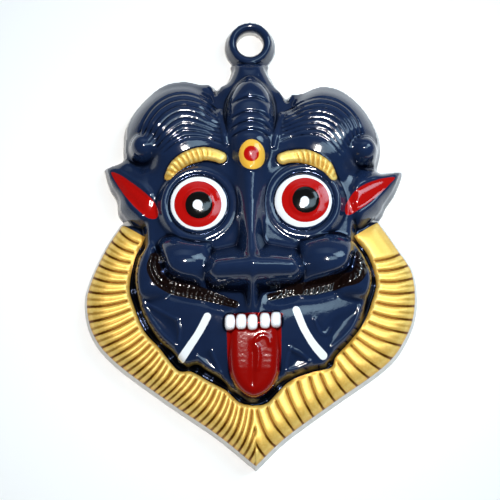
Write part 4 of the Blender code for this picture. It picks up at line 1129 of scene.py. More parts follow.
class Field:
    """Values on the lattice, read anywhere between its points."""

    def __init__(self, values):
        self.values = values

    def at(self, x, y):
        """The value at a place, mixed from the four lattice points round it."""
        across = np.clip((x - LATTICE_LOW[0]) / LATTICE, 0, LATTICE_SIZE[0] - 2)
        up = np.clip((y - LATTICE_LOW[1]) / LATTICE, 0, LATTICE_SIZE[1] - 2)
        i, j = across.astype(int), up.astype(int)
        a, b = across - i, up - j
        low = (1 - a) * self.values[i, j] + a * self.values[i + 1, j]
        high = (1 - a) * self.values[i, j + 1] + a * self.values[i + 1, j + 1]
        return (1 - b) * low + b * high


print("The lattice has", LATTICE_SIZE[0] * LATTICE_SIZE[1], "points,", LATTICE, "mm apart")

# %% [markdown]
# Sand casting rounds off the broad forms, and the carving was gone over afterwards, so it stays
# crisper. The same order is kept here: the broad forms are softened, then carved, and at the end a
# film of paint softens all of it a little.

# %% The relief
SAND = 0.7
PAINT_FILM = 0.2

lattice_x, lattice_y = np.meshgrid(
    LATTICE_LOW[0] + LATTICE * np.arange(LATTICE_SIZE[0]),
    LATTICE_LOW[1] + LATTICE * np.arange(LATTICE_SIZE[1]),
    indexing="ij",
)
started = time.perf_counter()
edge_map = Field(edge_distance(lattice_x, lattice_y))
broad_map = softened(broad_forms(lattice_x, lattice_y), SAND)
whole = carved(lattice_x, lattice_y, edge_map.values, broad_map)
front_map = Field(softened(whole, PAINT_FILM))
print("Relief worked out in", round(time.perf_counter() - started, 1), "s")
print("Its highest place is", round(whole.max(), 2), "mm up")

# %% [markdown]
# The front is a flat grid of small squares. Its outer squares are trimmed to the edge of the mask,
# with the nearest vertices pulled onto the line, so that the edge is smooth and no square is thin.
# A Boolean would cut it too, but it leaves slivers along the whole edge.

# %% Grid and trim
FRONT_CELL = 0.0004
GRID_SPARE = 1.08
PULL_PASSES = 3
PULL_STEP = 0.05
LEAST_STEEPNESS = 0.25
HALF_CELL = 0.5
BORDER_CELLS = 2
SLIVER = 0.03


def grid(cell):
    """A flat grid of square cells over the whole drawing, in metres."""
    mesh = bmesh.new()
    across = math.ceil(LATTICE_SIZE[0] * LATTICE * SCALE / cell)
    up = math.ceil((CAD_HIGH.y - CAD_LOW.y) * GRID_SPARE / cell)
    bmesh.ops.create_grid(mesh, x_segments=across, y_segments=up, size=0.5)
    bmesh.ops.scale(mesh, vec=(across * cell, up * cell, 1.0), verts=mesh.verts)
    return mesh


def places(verts):
    """Drawing coordinates of vertices."""
    spots = np.array([vert.co[:2] for vert in verts]) / SCALE
    return spots[:, 0], spots[:, 1]


def pull(verts, distance, level):
    """Moves vertices square onto the line where a distance function has the given value."""
    x, y = places(verts)
    for _ in range(PULL_PASSES):
        here = distance(x, y)
        slope_x = (distance(x + PULL_STEP, y) - here) / PULL_STEP
        slope_y = (distance(x, y + PULL_STEP) - here) / PULL_STEP
        steepness = np.maximum(slope_x**2 + slope_y**2, LEAST_STEEPNESS)
        x = x - (here - level) * slope_x / steepness
        y = y - (here - level) * slope_y / steepness
    for vert, vert_x, vert_y in zip(verts, x, y):
        vert.co.x, vert.co.y = vert_x * SCALE, vert_y * SCALE


def trim(mesh, distance, level, cell):
    """Cuts a grid along a line: the nearest vertices move onto it, and what lies outside goes."""
    verts = list(mesh.verts)
    cells = (distance(*places(verts)) - level) * SCALE / cell
    pull([vert for vert, away in zip(verts, cells) if abs(away) < HALF_CELL], distance, level)
    gone = [vert for vert, away in zip(verts, cells) if away <= -HALF_CELL]
    outside = set(gone)
    for face in list(mesh.faces):
        corners = list(face.verts)
        out = [vert in outside for vert in corners]
        if sum(out) == 1 and len(corners) == 4:
            away = out.index(True)
            bmesh.utils.face_split(face, corners[away - 1], corners[(away + 1) % 4])
    bmesh.ops.delete(mesh, geom=gone, context="VERTS")
    borders = {vert: sum(edge.is_boundary for edge in vert.link_edges) for vert in mesh.verts}
    pinched = [vert for vert, count in borders.items() if count != 2 * vert.is_boundary]
    bmesh.ops.delete(mesh, geom=pinched, context="VERTS")
    border = [vert for vert in mesh.verts if vert.is_boundary]
    near = abs(distance(*places(border)) - level) * SCALE / cell < BORDER_CELLS
    pull([vert for vert, close in zip(border, near) if close], distance, level)
    slivers = [face for face in mesh.faces if face.calc_area() < SLIVER * cell**2]
    bmesh.ops.delete(mesh, geom=slivers, context="FACES")


def loop_distance(x, y):
    """How far a place is outside the loop's hole."""
    return np.hypot(x - LOOP_X, y - LOOP_Y) - HOLE


front = grid(FRONT_CELL)
trim(front, edge_map.at, 0.0, FRONT_CELL)
trim(front, loop_distance, 0.0, FRONT_CELL)
print("Front after trimming:", len(front.faces), "faces")

# %% [markdown]
# The beads of the moustache and the cords of the brows are finer than the other forms, so the
# squares along them are halved once more. A finer grid everywhere would cost four times the faces.
# Then every vertex is lifted to the relief's height, and the border of the hole is carried down to
# the back.

# %% Finer squares and lifting
MOUSTACHE_REACH = 2.2
BROW_REACH = 1.9
LEVEL = 1e-5


def refine(mesh, lines, reach):
    """Halves the squares along lines, so that they can carry finer relief there."""
    x, y = places(mesh.verts)
    near = np.zeros(len(x), dtype=bool)
    for line in lines:
        near |= line.measure(x, y)[0] < reach
    mesh.verts.index_update()
    edges = [edge for edge in mesh.edges if near[edge.verts[0].index] and near[edge.verts[1].index]]
    bmesh.ops.subdivide_edges(mesh, edges=edges, cuts=1, use_grid_fill=True)


def lift(mesh, height):
    """Raises every vertex to a height function of the drawing."""
    for vert, z in zip(mesh.verts, height(*places(mesh.verts)) * DEPTH_SCALE):
        vert.co.z = z


def carry_border(mesh, distance, level, bottom):
    """Extends an open surface from the border that is near a line to that line at another height."""
    border = [edge for edge in mesh.edges if edge.is_boundary and edge.verts[0].co.z > bottom + LEVEL]
    made = bmesh.ops.extrude_edge_only(mesh, edges=border)["geom"]
    low = [item for item in made if isinstance(item, bmesh.types.BMVert)]
    pull(low, distance, level)
    for vert in low:
        vert.co.z = bottom


def front_height(x, y):
    """The relief, with the drafted side that falls from it to the outer edge."""
    side = EDGE * unit(edge_map.at(x, y) / DRAFT)
    return np.where(side < EDGE, side, front_map.at(x, y))


refine(front, MOUSTACHE_LINES, MOUSTACHE_REACH)
refine(front, BROW_LINES, BROW_REACH)
lift(front, front_height)
carry_border(front, loop_distance, 0.0, 0.0)
print("Front:", len(front.faces), "faces")

# %% [markdown]
# Behind the face the casting is hollow. A caster's core follows the face's broad forms and leaves a
# wall of even thickness. The lowest front within a wall's reach of each place gives that, and a
# little averaging makes it smooth. A Solidify modifier would fold over itself in every groove.

# %% The core behind the face
WALL = 0.003
HOLLOW_SOFTNESS = 0.0025
CEILING_STEP = 4


def ring_of(radius):
    """Steps on a lattice CEILING_STEP times coarser that lie within a radius."""
    most = int(radius / (LATTICE * CEILING_STEP))
    steps = range(-most, most + 1)
    return [(a, b) for a in steps for b in steps if math.hypot(a, b) * LATTICE * CEILING_STEP <= radius]


coarse = whole[::CEILING_STEP, ::CEILING_STEP]
lowest = coarse
for shift_by in ring_of((WALL + HOLLOW_SOFTNESS) / SCALE):
    lowest = np.minimum(lowest, np.roll(coarse, shift_by, (0, 1)))
near = ring_of(HOLLOW_SOFTNESS / SCALE)
core = sum(np.roll(lowest, shift_by, (0, 1)) for shift_by in near) / len(near) - WALL / DEPTH_SCALE
full_size = np.kron(core, np.ones((CEILING_STEP, CEILING_STEP)))[:LATTICE_SIZE[0], :LATTICE_SIZE[1]]
core_map = Field(softened(full_size, CEILING_STEP * LATTICE))
print("The core is", round(core.max(), 1), "mm deep")

# %% [markdown]
# The hollow's surface is a coarser grid, because nobody looks at its details. It is trimmed to the
# inner line of the flat rim that the mask lies on, lifted to the core's height, and its border is
# carried down to the rim with a draft.

# %% Hollow back
RIM_WIDTH = 0.0045
HOLLOW_DRAFT = 0.0008
BACK_CELL = 0.0011
BACKED_SIDES = SIDES[:2] + SIDES[5:]


def back_distance(x, y):
    """How far a place is inside the flat rim of the back. The ears, the hood and the loop are outside it."""
    return with_sides(BACKED_SIDES, x, y) - RIM_WIDTH / SCALE


hollow = grid(BACK_CELL)
trim(hollow, back_distance, HOLLOW_DRAFT / SCALE, BACK_CELL)
lift(hollow, core_map.at)
carry_border(hollow, back_distance, 0.0, 0.0)
print("Hollow:", len(hollow.faces), "faces")

# %% [markdown]
# Front and hollow meet in the flat rim that the mask lies on. Both end at the rim's level, so the
# rim is one flat face with holes, and filling between all the open borders makes it.

# %% Close the casting
def joined(name, parts):
    """One mesh from several bmeshes, with the flat rim filled in between their borders."""
    mesh = bmesh.new()
    for part in parts:
        data = bpy.data.meshes.new(name)
        part.to_mesh(data)
        part.free()
        mesh.from_mesh(data)
        bpy.data.meshes.remove(data)
    bmesh.ops.triangle_fill(mesh, use_beauty=True, edges=[edge for edge in mesh.edges if edge.is_boundary])
    bmesh.ops.recalc_face_normals(mesh, faces=mesh.faces)
    print(name, "has", sum(edge.is_boundary for edge in mesh.edges), "open edges")
    return mesh


def settled(mesh):
    """Moves a mesh so that its box has the same middle as the solid's, and returns the step."""
    spots = np.array([vert.co[:] for vert in mesh.verts])
    middle = (spots.max(axis=0) + spots.min(axis=0)) / 2
    step = Vector(((CAD_LOW.x + CAD_HIGH.x) / 2 - middle[0], (CAD_LOW.y + CAD_HIGH.y) / 2 - middle[1], 0.0))
    bmesh.ops.translate(mesh, vec=step, verts=mesh.verts)
    return step


def finished(name, mesh):
    """A smooth shaded object with a bmesh as its mesh."""
    data = bpy.data.meshes.new(name)
    mesh.to_mesh(data)
    mesh.free()
    item = bpy.data.objects.new(name, data)
    bpy.context.scene.collection.objects.link(item)
    data.shade_smooth()
    print(name, "has", sum(len(face.vertices) - 2 for face in data.polygons), "triangles")
    return item


closed = joined("painted_casting", (front, hollow))
shift = settled(closed)
casting = finished("painted_casting", closed)
print("The drawing sits", [round(1000 * step, 2) for step in shift], "mm off the mask's origin")

# %% [markdown]
# Paint has crisp edges that are finer than any mesh. So each paint isn't a colour on the vertices
# but a distance: how far inside the painted patch a vertex is, in millimetres. Between vertices
# that number runs evenly, and the material turns it into a sharp edge where it passes nought. Two
# kinds of patch are enough besides the outlines that are there already: an oval and a brush stroke.

# %% Patches of paint
def oval_inside(x, y, oval, level):
    """Distance inside an oval of the drawing, given by its middle and half widths in squares."""
    middle = place(oval[0], level)[0]
    square = SQUARE * (VIEW_DISTANCE - level) / VIEW_DISTANCE
    half = (oval[1][0] * square, oval[1][1] * square)
    return (1 - np.hypot((x - middle[0]) / half[0], (y - middle[1]) / half[1])) * min(half)


def ovals(x, y, shapes, level):
    """Distances inside several ovals at one level."""
    return [oval_inside(x, y, oval, level) for oval in shapes]


def stroke_inside(x, y, line, marks, half_widths):
    """Distance inside a brush stroke or a ridge along a line."""
    gap, share, _ = line.measure(x, y)
    return np.interp(share, marks, half_widths) - gap


def most(patches):
    """The distance inside whichever patch reaches furthest."""
    return np.maximum.reduce(list(patches))


print("A patch of two strokes reaches", most((0.2, 0.5)), "where its strokes reach 0.2 and 0.5")

# %% [markdown]
# Gold covers the ruff from its outer edge to the face and both brows. It ends below each ear at a
# straight line.

# %% Gold
GOLD_END_LEVEL = 12.0
GOLD_ENDS = [
    place(ends, GOLD_END_LEVEL) for ends in (((119, 221), (147, 238)), ((380, 219.5), (352, 237)))
]
GOLD_END_LENGTH = float(np.hypot(*(GOLD_ENDS[0][1] - GOLD_ENDS[0][0])))
GOLD_EDGE = DRAFT * 0.9


def beside(x, y, line):
    """Twice the area between a straight line and a place, with a sign that tells the side."""
    (start_x, start_y), (run_x, run_y) = line[0], line[1] - line[0]
    return run_x * (y - start_y) - run_y * (x - start_x)


def gold_distance(x, y):
    """Distance inside the gold of the ruff or of a brow."""
    left, right = (beside(x, y, line) for line in GOLD_ENDS)
    below_ears = np.where(x < 0, -left, right) / GOLD_END_LENGTH
    between = [RUFF_SHAPE.signed(x, y) + DRAFT, -FACE_SHAPE.signed(x, y), edge_map.at(x, y) - GOLD_EDGE]
    ruff_gold = np.minimum.reduce(between + [below_ears])
    return most([ruff_gold] + [stroke_inside(x, y, line, *BROW_WIDTHS) for line in BROW_LINES])


print("Gold ends", round(GOLD_END_LENGTH, 1), "mm wide below the ears")

# %% [markdown]
# The eyes are painted in four ovals on top of each other, each a little off the middle of the last,
# as a brush leaves them. The tusks are single white strokes that get wider downwards, the bindi is
# a red oval on a yellow one, and the inner leaves of the ears are red.

# %% White, red and black
EYE_WHITES = (((198.6, 203.1), (28.4, 27.4)), ((303.4, 200.6), (28.8, 26.9)))
EYE_REDS = (((197.9, 204.1), (23.8, 23.6)), ((305.4, 199.9), (24.0, 22.8)))
EYE_BLACKS = (((198.9, 205.0), (13.7, 13.7)), ((305.8, 199.7), (13.6, 13.6)))
EYE_DOTS = (((197.7, 204.9), (5.0, 5.0)), ((304.7, 201.8), (4.5, 5.3)))
PUPIL_LEVEL = 21.5
BINDI_YELLOW = ((252.0, 153.6), (13.3, 15.6))
BINDI_RED = ((251.3, 153.2), (7.8, 8.0))
TUSKS = (
    ((207.5, 316.9), (200, 331), (189, 347), (181, 358.3)),
    ((296, 310.5), (303.7, 328.4), (313.3, 343.7), (323.5, 355.2)),
)
TUSK_LEVEL = 17.0
TUSK_LINES = [stroke(points, TUSK_LEVEL) for points in TUSKS]
TUSK_MARKS = (0, 0.5, 1)
TUSK_HALF_WIDTHS = (1.3, 1.25, 1.45)


def white_distance(x, y):
    """Distance inside the whites of the eyes, the tusks and the teeth."""
    tusks = [stroke_inside(x, y, line, TUSK_MARKS, TUSK_HALF_WIDTHS) for line in TUSK_LINES]
    teeth = [tooth_inside(x, y, spot) for spot in TEETH]
    return most(ovals(x, y, EYE_WHITES, EYE_LEVEL) + tusks + teeth)


def red_distance(x, y):
    """Distance inside the red of the eyes, the ears and the bindi."""
    leaves = [leaf.signed(x, y) for leaf in LEAF_SHAPES]
    return most(ovals(x, y, EYE_REDS, EYE_LEVEL) + leaves + [oval_inside(x, y, BINDI_RED, BINDI_LEVEL)])


print("Tusks:", [round(line.total, 1) for line in TUSK_LINES], "mm long")

# %% [markdown]
# The mouth's red covers the tongue and the gum behind the teeth. The moustache is brown, and the
# gutter between the face's wall and the ruff is painted nearly black, as painted shade. The paints
# stand in the order in which they are laid over each other.

# %% All the paints
GUMS = ((227.5, 315.5), (279.5, 313.3), (281, 332), (227.2, 334))
GUM_SHAPE = Line(place(GUMS, TEETH_LEVEL), True)
BROWN_SPREAD = 0.3
GUTTER_SPREAD = 0.1
GUTTER_FOOT = 0.3
GUTTER_TOP = float(place((150, 246), PLATE_LEVEL)[0][1])


def brown_distance(x, y):
    """Distance inside the moustache's brown, which runs out a little over its sides."""
    return most(stroke_inside(x, y, line, *MOUSTACHE_WIDTHS) + BROWN_SPREAD for line in MOUSTACHE_LINES)


def gutter_distance(x, y):
    """Distance inside the gap between the wall of the face and the ruff, below the ears, which gets painted
    shade.
    """
    between = [FACE_SHAPE.signed(x, y) + GUTTER_SPREAD, -PLATE_SHAPE.signed(x, y) - GUTTER_FOOT]
    return np.minimum.reduce(between + [GUTTER_TOP - y])


PAINTS = {
    "gold": gold_distance,
    "yellow": lambda x, y: oval_inside(x, y, BINDI_YELLOW, BINDI_LEVEL),
    "brown": brown_distance,
    "gutter": gutter_distance,
    "tongue": lambda x, y: np.maximum(TONGUE_SHAPE.signed(x, y), GUM_SHAPE.signed(x, y)),
    "white": white_distance,
    "red": red_distance,
    "black": lambda x, y: most(ovals(x, y, EYE_BLACKS, PUPIL_LEVEL)),
    "dot": lambda x, y: most(ovals(x, y, EYE_DOTS, PUPIL_LEVEL)),
}
print("Paints:", ", ".join(PAINTS))

# %% [markdown]
# The mesh now gets one number for every paint and a few more: how far a place stands above its
# neighbourhood, which the colours use for painted shade in grooves and painted highlights on ridges,
# how far inside bare metal it is, and the rib numbers. The back gets no paint and stays bare.

# %% Write the paint distances on the mesh
NO_PAINT = -5.0
SIDE_PAINT_END = DRAFT * 0.15
HAND_WIDTH = 0.9
RUFF_END = float(place((121, 222), 0.0)[0][1])
BARE_MARGIN = 0.5
BARE_REACH = 3
SAME_HEIGHT = 1e-6


def write(mesh, name, values):
    """One number for each vertex, under a name that a material can read."""
    mesh.attributes.new(name, "FLOAT", "POINT").data.foreach_set("value", values.astype(np.float32))


spots = np.empty(len(casting.data.vertices) * 3)
casting.data.vertices.foreach_get("co", spots)
spots = spots.reshape(-1, 3) - np.array(shift)
plan_x, plan_y = spots[:, 0] / SCALE, spots[:, 1] / SCALE
edge = edge_map.at(plan_x, plan_y)
on_front = np.abs(spots[:, 2] - front_height(plan_x, plan_y) * DEPTH_SCALE) < SAME_HEIGHT
for name, distance in PAINTS.items():
    write(casting.data, name, np.where(on_front, distance(plan_x, plan_y), NO_PAINT))
by_ruff = (RUFF_SHAPE.signed(plan_x, plan_y) > -BARE_MARGIN) & (edge < BARE_REACH) & (plan_y < RUFF_END)
bare = np.where(by_ruff, GOLD_EDGE - edge, SIDE_PAINT_END - edge)
write(casting.data, "bare", np.where(on_front, bare, -NO_PAINT))
stands_out = Field(whole - softened(whole, HAND_WIDTH))
write(casting.data, "stands_out", np.where(on_front, stands_out.at(plan_x, plan_y), 0))
turns, fold, inner_gap = rib_turns(plan_x, plan_y)
fade = rib_fade(turns, inner_gap)
write(casting.data, "rib_number", turns)
write(casting.data, "slit", fade)
write(casting.data, "fold", fold * fade)
print(int(on_front.sum()), "of", len(spots), "vertices are on the painted front")

# %% [markdown]
# Node trees grow long and hard to read when each sum is a node placed by hand. One small class lets
# an expression add its own nodes: a wrapped socket can be added, subtracted and multiplied like a
# number.

# %% Shader maths as expressions
class Socket:
    """An output of a node, in an expression that adds Math nodes as it is worked out."""

    def __init__(self, tree, output):
        self.tree = tree
        self.output = output

    def node(self, kind, settings=None, outputs=0, **inputs):
        """Any node: its settings come first, then its inputs, by name or as i0, i1 for the first, second."""
        made = self.tree.nodes.new("ShaderNode" + kind)
        for key, value in (settings or {}).items():
            setattr(made, key, value)
        for key, value in inputs.items():
            slot = made.inputs[int(key[1:])] if key[1:].isdigit() else made.inputs[key.replace("_", " ")]
            if isinstance(value, Socket):
                self.tree.links.new(value.output, slot)
            else:
                slot.default_value = value
        return Socket(self.tree, made.outputs[outputs])

    def math_node(self, operation, first, second=0.0, clamp=False):
        """A Math node on two values."""
        return self.node("Math", {"operation": operation, "use_clamp": clamp}, i0=first, i1=second)

    def __add__(self, other):
        return self.math_node("ADD", self, other)

    def __radd__(self, other):
        return self.math_node("ADD", other, self)

    def __sub__(self, other):
        return self.math_node("SUBTRACT", self, other)

    def __rsub__(self, other):
        return self.math_node("SUBTRACT", other, self)

    def __mul__(self, other):
        return self.math_node("MULTIPLY", self, other)

    def __rmul__(self, other):
        return self.math_node("MULTIPLY", other, self)

    def clamped(self):
        """The value kept between 0 and 1."""
        return self.math_node("ADD", self, 0.0, clamp=True)

    def passing(self, low, high):
        """0 below the low value and 1 above the high one, softly. Swapped limits turn it over."""
        smooth = {"interpolation_type": "SMOOTHSTEP"}
        return self.node("MapRange", smooth, i0=self, i1=low, i2=high, i3=0.0, i4=1.0)

    def tinted(self, below, above):
        """A colour between two, by this number."""
        mix = {"data_type": "RGBA"}
        return self.node("Mix", mix, outputs=2, i0=self, i6=colour(below), i7=colour(above))


def colour(value):
    """A colour from a node as it is, or from three numbers, with full cover."""
    return value if isinstance(value, Socket) else (*value, 1.0)


def new_material(name):
    """A new material, a first socket to begin expressions with, and its Principled shader."""
    material = bpy.data.materials.new(name)
    material.use_nodes = True
    tree = material.node_tree
    return material, Socket(tree, None), tree.nodes["Principled BSDF"]


print("Shader maths goes through", Socket.__name__)

# %% [markdown]
# A paint's distance becomes a mask with a brushed edge, which wavers a little as a hand does. The
# painted shade in the slits between the ribs comes from the rib number: ping-pong turns it into the
# distance from the nearest whole number.

# %% Slits and patches in the material
PAINT_EDGE = 0.10
WAVER = 0.22
SLIT_EDGES = (0.125, 0.05)
SLIT_WOBBLE = 0.06
FOLD_STRENGTH = 0.8


def attribute(start, name):
    """The number that the mesh carries under a name."""
    return start.node("Attribute", {"attribute_name": name}, outputs=2)


def paint_mask(start, name, waver):
    """Where a paint lies: 1 inside its patch, 0 outside, with a brushed edge."""
    return (attribute(start, name) + waver).passing(-PAINT_EDGE, PAINT_EDGE)


def slits(start, fine):
    """Painted shade in the slits between the ribs and, weaker, in those along the folds, with slightly uneven
    edges.
    """
    number = attribute(start, "rib_number")
    slit_wobble = (fine - 0.5) * SLIT_WOBBLE
    slit = (number.math_node("PINGPONG", number, 0.5) + slit_wobble).passing(*SLIT_EDGES)
    fold_slit = (number.math_node("PINGPONG", number + 0.5, 0.5) + slit_wobble).passing(*SLIT_EDGES)
    slit = slit * attribute(start, "slit")
    return (slit + fold_slit * attribute(start, "fold") * FOLD_STRENGTH).clamped()


print("Paint edges are", 2 * PAINT_EDGE, "mm soft and waver by", WAVER, "mm")

# %% [markdown]
# The paints are gloss enamels brushed on by hand over bare aluminium. Deep blue is everywhere first,
# with painted shade in grooves and a painted highlight on ridges. Gold gets a painted highlight on
# ridges, painted shade in hollows, and dark brown painted shade in the slits. The yellow of the bindi
# is bright on top and has brown painted shade in the grooves of its rim. The other colours go over
# that, each by its mask.

# %% Colours
BLUE = (0.0085, 0.019, 0.056)
BLUE_SHADED = (0.004, 0.009, 0.028)
BLUE_SHADE_BY_HEIGHT = 1.2
BLUE_SHARE = 0.7
BLUE_CLOUDS = 0.5
GOLD_SLIT_SHADE = (0.17, 0.06, 0.004)
GOLD_SHADED = (0.42, 0.20, 0.02)
GOLD = (0.77, 0.46, 0.08)
GOLD_HIGHLIGHT = (0.90, 0.66, 0.19)
GOLD_SHADE_LIMITS = (-0.55, 0.05)
GOLD_SHADE_GRAIN = 0.25
RAISED = (0.02, 0.40)
RAISED_GRAIN = 0.35
YELLOW = (0.76, 0.43, 0.05)
YELLOW_SHADE = (0.16, 0.06, 0.008)
YELLOW_LIT_LIMITS = (0.15, 0.75)
NEAR_RED = (-4.5, -3.5)
# Painted shade in the gutter between the face's wall and the ruff.
GUTTER_SHADE = (0.006, 0.010, 0.022)
BROWN = (0.007, 0.003, 0.0025)
TONGUE_RED = (0.23, 0.002, 0.001)
RED = (0.40, 0.004, 0.003)
WHITE = (0.80, 0.84, 0.88)
BLACK = (0.004, 0.004, 0.004)
ALUMINIUM = (0.74, 0.73, 0.71)
ALUMINIUM_DARK = (0.56, 0.55, 0.53)
ALUMINIUM_SPREAD = 1.2
ALUMINIUM_SHIFT = 0.1
TINTS = {
    "brown": BROWN,
    "gutter": GUTTER_SHADE,
    "tongue": TONGUE_RED,
    "white": WHITE,
    "red": RED,
    "black": BLACK,
    "dot": WHITE,
}


def paint_colour(start, masks, slit, stands_out, broad, fine):
    """The colour of each place, from the first coat to the last."""
    # Painted shade and highlight: the blue is darker in grooves and paler on ridges, by how far a place
    # stands out.
    blue_share = stands_out * BLUE_SHADE_BY_HEIGHT + BLUE_SHARE + (broad - 0.5) * BLUE_CLOUDS
    blue = blue_share.clamped().tinted(BLUE_SHADED, BLUE)
    # Painted shade and highlight on the gold: deeper in hollows, brighter on ridges.
    gold_lit_share = (stands_out + (fine - 0.5) * GOLD_SHADE_GRAIN).passing(*GOLD_SHADE_LIMITS)
    raised = (stands_out + (fine - 0.5) * RAISED_GRAIN).passing(*RAISED)
    gold = raised.tinted(gold_lit_share.tinted(GOLD_SHADED, GOLD), GOLD_HIGHLIGHT)
    # Painted shade: the slits between the ribs are dark brown.
    paint = masks["gold"].tinted(blue, (slit * masks["gold"]).tinted(gold, GOLD_SLIT_SHADE))
    # Painted shade on the bindi's yellow: brown in the grooves of its rim, except beside the red.
    near_red = attribute(start, "red").passing(*NEAR_RED)
    yellow_lit = (stands_out.passing(*YELLOW_LIT_LIMITS) + near_red).clamped()
    paint = masks["yellow"].tinted(paint, yellow_lit.tinted(YELLOW_SHADE, YELLOW))
    for name, tint in TINTS.items():
        paint = masks[name].tinted(paint, tint)
    metal = (fine * ALUMINIUM_SPREAD - ALUMINIUM_SHIFT).clamped().tinted(ALUMINIUM_DARK, ALUMINIUM)
    return masks["bare"].tinted(paint, metal)


print(len(TINTS) + 3, "paints over bare metal")

# %% [markdown]
# Enamel is glossy and has a faint orange peel. Gold paint holds metal flakes, so it is partly
# metallic and rougher. The light doesn't reach into creases, so they get painted shade. A gloss coat
# would still mirror the bright floor there, so creases and the gutter are made dark metal, which
# mirrors only as much as its colour allows.

# %% Finish
CREASED = (-0.12, -0.5)
CREASE_METALLIC = 0.85
GOLD_METALLIC = 0.35
SLIT_METALLIC = 0.5
BARE_METALLIC = 0.3
GLOSS_ROUGHNESS = 0.10
GOLD_ROUGHNESS = 0.28
GOLD_GRAIN = 0.14
BARE_ROUGHNESS = 0.5


def shine(masks, slit, stands_out, fine):
    """How metallic and how rough each place is."""
    painted = 1.0 - masks["bare"]
    enamel = (1.0 - masks["gold"]) * (1.0 - masks["white"]) * (1.0 - masks["yellow"]) * (1.0 - masks["brown"])
    # Painted shade: creases and the gutter are dark metal, so they mirror little.
    crease_shade = (stands_out.passing(*CREASED) * enamel + masks["gutter"]).clamped()
    metallic = masks["gold"] * (slit * SLIT_METALLIC + GOLD_METALLIC) * painted
    metallic = metallic + masks["bare"] * BARE_METALLIC + crease_shade * CREASE_METALLIC
    gloss = GLOSS_ROUGHNESS + masks["gold"] * (GOLD_ROUGHNESS + fine * GOLD_GRAIN)
    return metallic, gloss * painted + masks["bare"] * BARE_ROUGHNESS


print("Roughness from", GLOSS_ROUGHNESS, "on enamel to", BARE_ROUGHNESS, "on bare metal")

# %% [markdown]
# Three noises in Object coordinates give the paint its life: a broad one for clouds and wavering
# edges, a middle one for the orange peel, and a fine one for grain. They need no unwrapping,
# because the mask never bends. Their sum goes into a weak bump, and the whole finish goes onto the
# casting, which takes the place of the plain solid.

# %% Painted casting
BROAD_SCALE = 260.0
PEEL_SCALE = 620.0
FINE_SCALE = 1400.0
BROAD_BUMP = 0.7
PEEL_BUMP = 0.45
GOLD_BUMP = 0.25
BARE_BUMP = 0.6
BUMP_STRENGTH = 0.35
BUMP_DISTANCE = 0.0002
ENAMEL_IOR = 1.5


def painted_casting():
    """The mask's only material, from bare metal to the last stroke."""
    material, start, shader = new_material("brushed_enamel_on_aluminium")
    where = start.node("TexCoord", outputs=3)
    broad = start.node("TexNoise", Vector=where, Scale=BROAD_SCALE, Detail=3.0)
    fine = start.node("TexNoise", Vector=where, Scale=FINE_SCALE, Detail=4.0)
    peel = start.node("TexNoise", Vector=where, Scale=PEEL_SCALE, Detail=2.0)
    waver = (broad - 0.5) * WAVER
    masks = {name: paint_mask(start, name, waver) for name in list(PAINTS) + ["bare"]}
    stands_out = attribute(start, "stands_out")
    slit = slits(start, fine)
    paint = paint_colour(start, masks, slit, stands_out, broad, fine)
    metallic, roughness = shine(masks, slit, stands_out, fine)
    grain = fine * (masks["gold"] * GOLD_BUMP + masks["bare"] * BARE_BUMP)
    height = broad * BROAD_BUMP + peel * PEEL_BUMP + grain
    bump = start.node("Bump", Strength=BUMP_STRENGTH, Distance=BUMP_DISTANCE, Height=height)
    results = {"Base Color": paint, "Metallic": metallic, "Roughness": roughness, "Normal": bump}
    for name, value in results.items():
        shader.id_data.links.new(value.output, shader.inputs[name])
    shader.inputs["IOR"].default_value = ENAMEL_IOR
    return material


casting.data.materials.append(painted_casting())
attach(casting, "root")
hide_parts("mask")
print("The material has", len(casting.data.materials[0].node_tree.nodes), "nodes")

# %% [markdown]
# The mask lies face up on a pale floor, large enough for every view. The floor is stage and not
# part of the object.

# %% Floor
FLOOR_HALF = 3.0
FLOOR_COLOUR = (0.92, 0.92, 0.92, 1.0)
FLOOR_ROUGHNESS = 0.9


def floor():
    """A plain pale floor at the level of the mask's back."""
    mesh = bmesh.new()
    bmesh.ops.create_grid(mesh, x_segments=1, y_segments=1, size=FLOOR_HALF)
    data = bpy.data.meshes.new("floor")
    mesh.to_mesh(data)
    mesh.free()
    item = bpy.data.objects.new("floor", data)
    bpy.context.scene.collection.objects.link(item)
    material, _, shader = new_material("pale_floor")
    shader.inputs["Base Color"].default_value = FLOOR_COLOUR
    shader.inputs["Roughness"].default_value = FLOOR_ROUGHNESS
    data.materials.append(material)


floor()
print("Floor", 2 * FLOOR_HALF, "m square")

# %% [markdown]
# A gloss paint shows little of its own and much of its surroundings. Softboxes with a grid in front
# keep their light in a narrow beam: the floor near the mask is bright, so steep sides turn pale,
# and what lies farther off stays dark, so flat places are deep blue. A broad dim screen behind the
# top edge gives slopes a soft sheen, and a small spark overhead leaves a point of light on each
# raised form. The world only glows faintly near the horizon.

# %% Lights
GRID_SPREAD = 70
LIT_SPOT = Vector((0, 0, 0.01))
LAMPS = (
    ("key", (0.42, 0.28, 0.42), (0.26, 0.40), 0.37, (0.60, 0.84, 1.0)),
    ("window", (0.20, 0.05, 0.62), (0.20, 0.36), 0.16, (0.60, 0.85, 1.0)),
    ("spark", (0.0, 0.0, 0.70), (0.06, 0.06), 0.62, (1.0, 0.95, 0.90)),
    ("screen", (0.0, 0.50, 0.42), (1.0, 0.36), 0.12, (0.62, 0.82, 1.0)),
)
GLOW_TOP = 0.45
GLOW = 0.10
GLOW_EVERYWHERE = 0.03
GLOW_COLOUR = (0.93, 0.96, 1.0, 1.0)


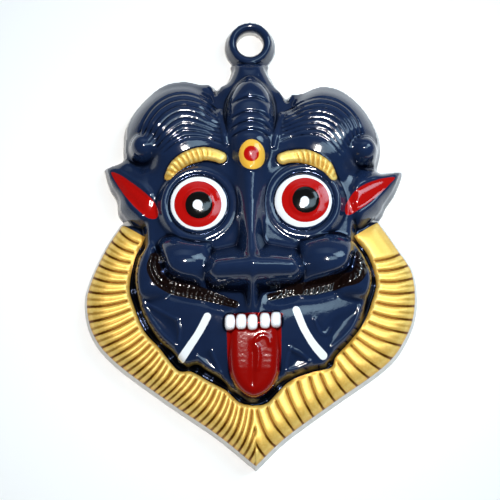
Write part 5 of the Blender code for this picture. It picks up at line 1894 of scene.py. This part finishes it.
def lamp(name, place_at, size, power, tint):
    """A soft light behind a grid, which faces the middle of the mask."""
    light = bpy.data.lights.new(name, "AREA")
    light.shape = "RECTANGLE"
    light.size, light.size_y = size
    light.energy = power
    light.color = tint
    light.spread = math.radians(GRID_SPREAD)
    item = bpy.data.objects.new(name, light)
    item.location = place_at
    item.rotation_euler = (LIT_SPOT - Vector(place_at)).to_track_quat("-Z", "Y").to_euler()
    bpy.context.scene.collection.objects.link(item)


def world():
    """A world that glows near the horizon and is nearly dark above."""
    studio = bpy.data.worlds.new("studio")
    studio.use_nodes = True
    start = Socket(studio.node_tree, None)
    up = start.node("SeparateXYZ", i0=start.node("TexCoord", outputs=0), outputs=2)
    glow = up.passing(GLOW_TOP, 0.0) * GLOW + GLOW_EVERYWHERE
    background = studio.node_tree.nodes["Background"]
    background.inputs["Color"].default_value = GLOW_COLOUR
    studio.node_tree.links.new(glow.output, background.inputs["Strength"])
    bpy.context.scene.world = studio


world()
for settings in LAMPS:
    lamp(*settings)
print("Lamps:", ", ".join(settings[0] for settings in LAMPS))

# %% [markdown]
# The camera stands where the drawing was seen from: square above the mask's middle, leaning a
# little towards the tip, at the distance that the drawing was corrected for. Its lens follows from
# the size of a square.

# %% Camera
VIEW_SENSOR = 36.0
PHOTO_WIDTH = 500

out_of_drawing = Vector((0, -VIEW_DISTANCE * math.sin(VIEW_TILT), VIEW_DISTANCE * math.cos(VIEW_TILT)))
eye_at = shift + out_of_drawing * SCALE
camera = bpy.data.objects.new("camera", bpy.data.cameras.new("camera"))
camera.data.sensor_width = VIEW_SENSOR
camera.data.lens = VIEW_SENSOR * VIEW_DISTANCE / (PHOTO_WIDTH * SQUARE)
camera.location = eye_at
camera.rotation_euler = (shift - eye_at).to_track_quat("-Z", "Y").to_euler()
bpy.context.scene.collection.objects.link(camera)
bpy.context.scene.camera = camera
bpy.context.scene.view_settings.view_transform = "Standard"
print("Camera", [round(step, 3) for step in eye_at], "lens", round(camera.data.lens, 1), "mm")
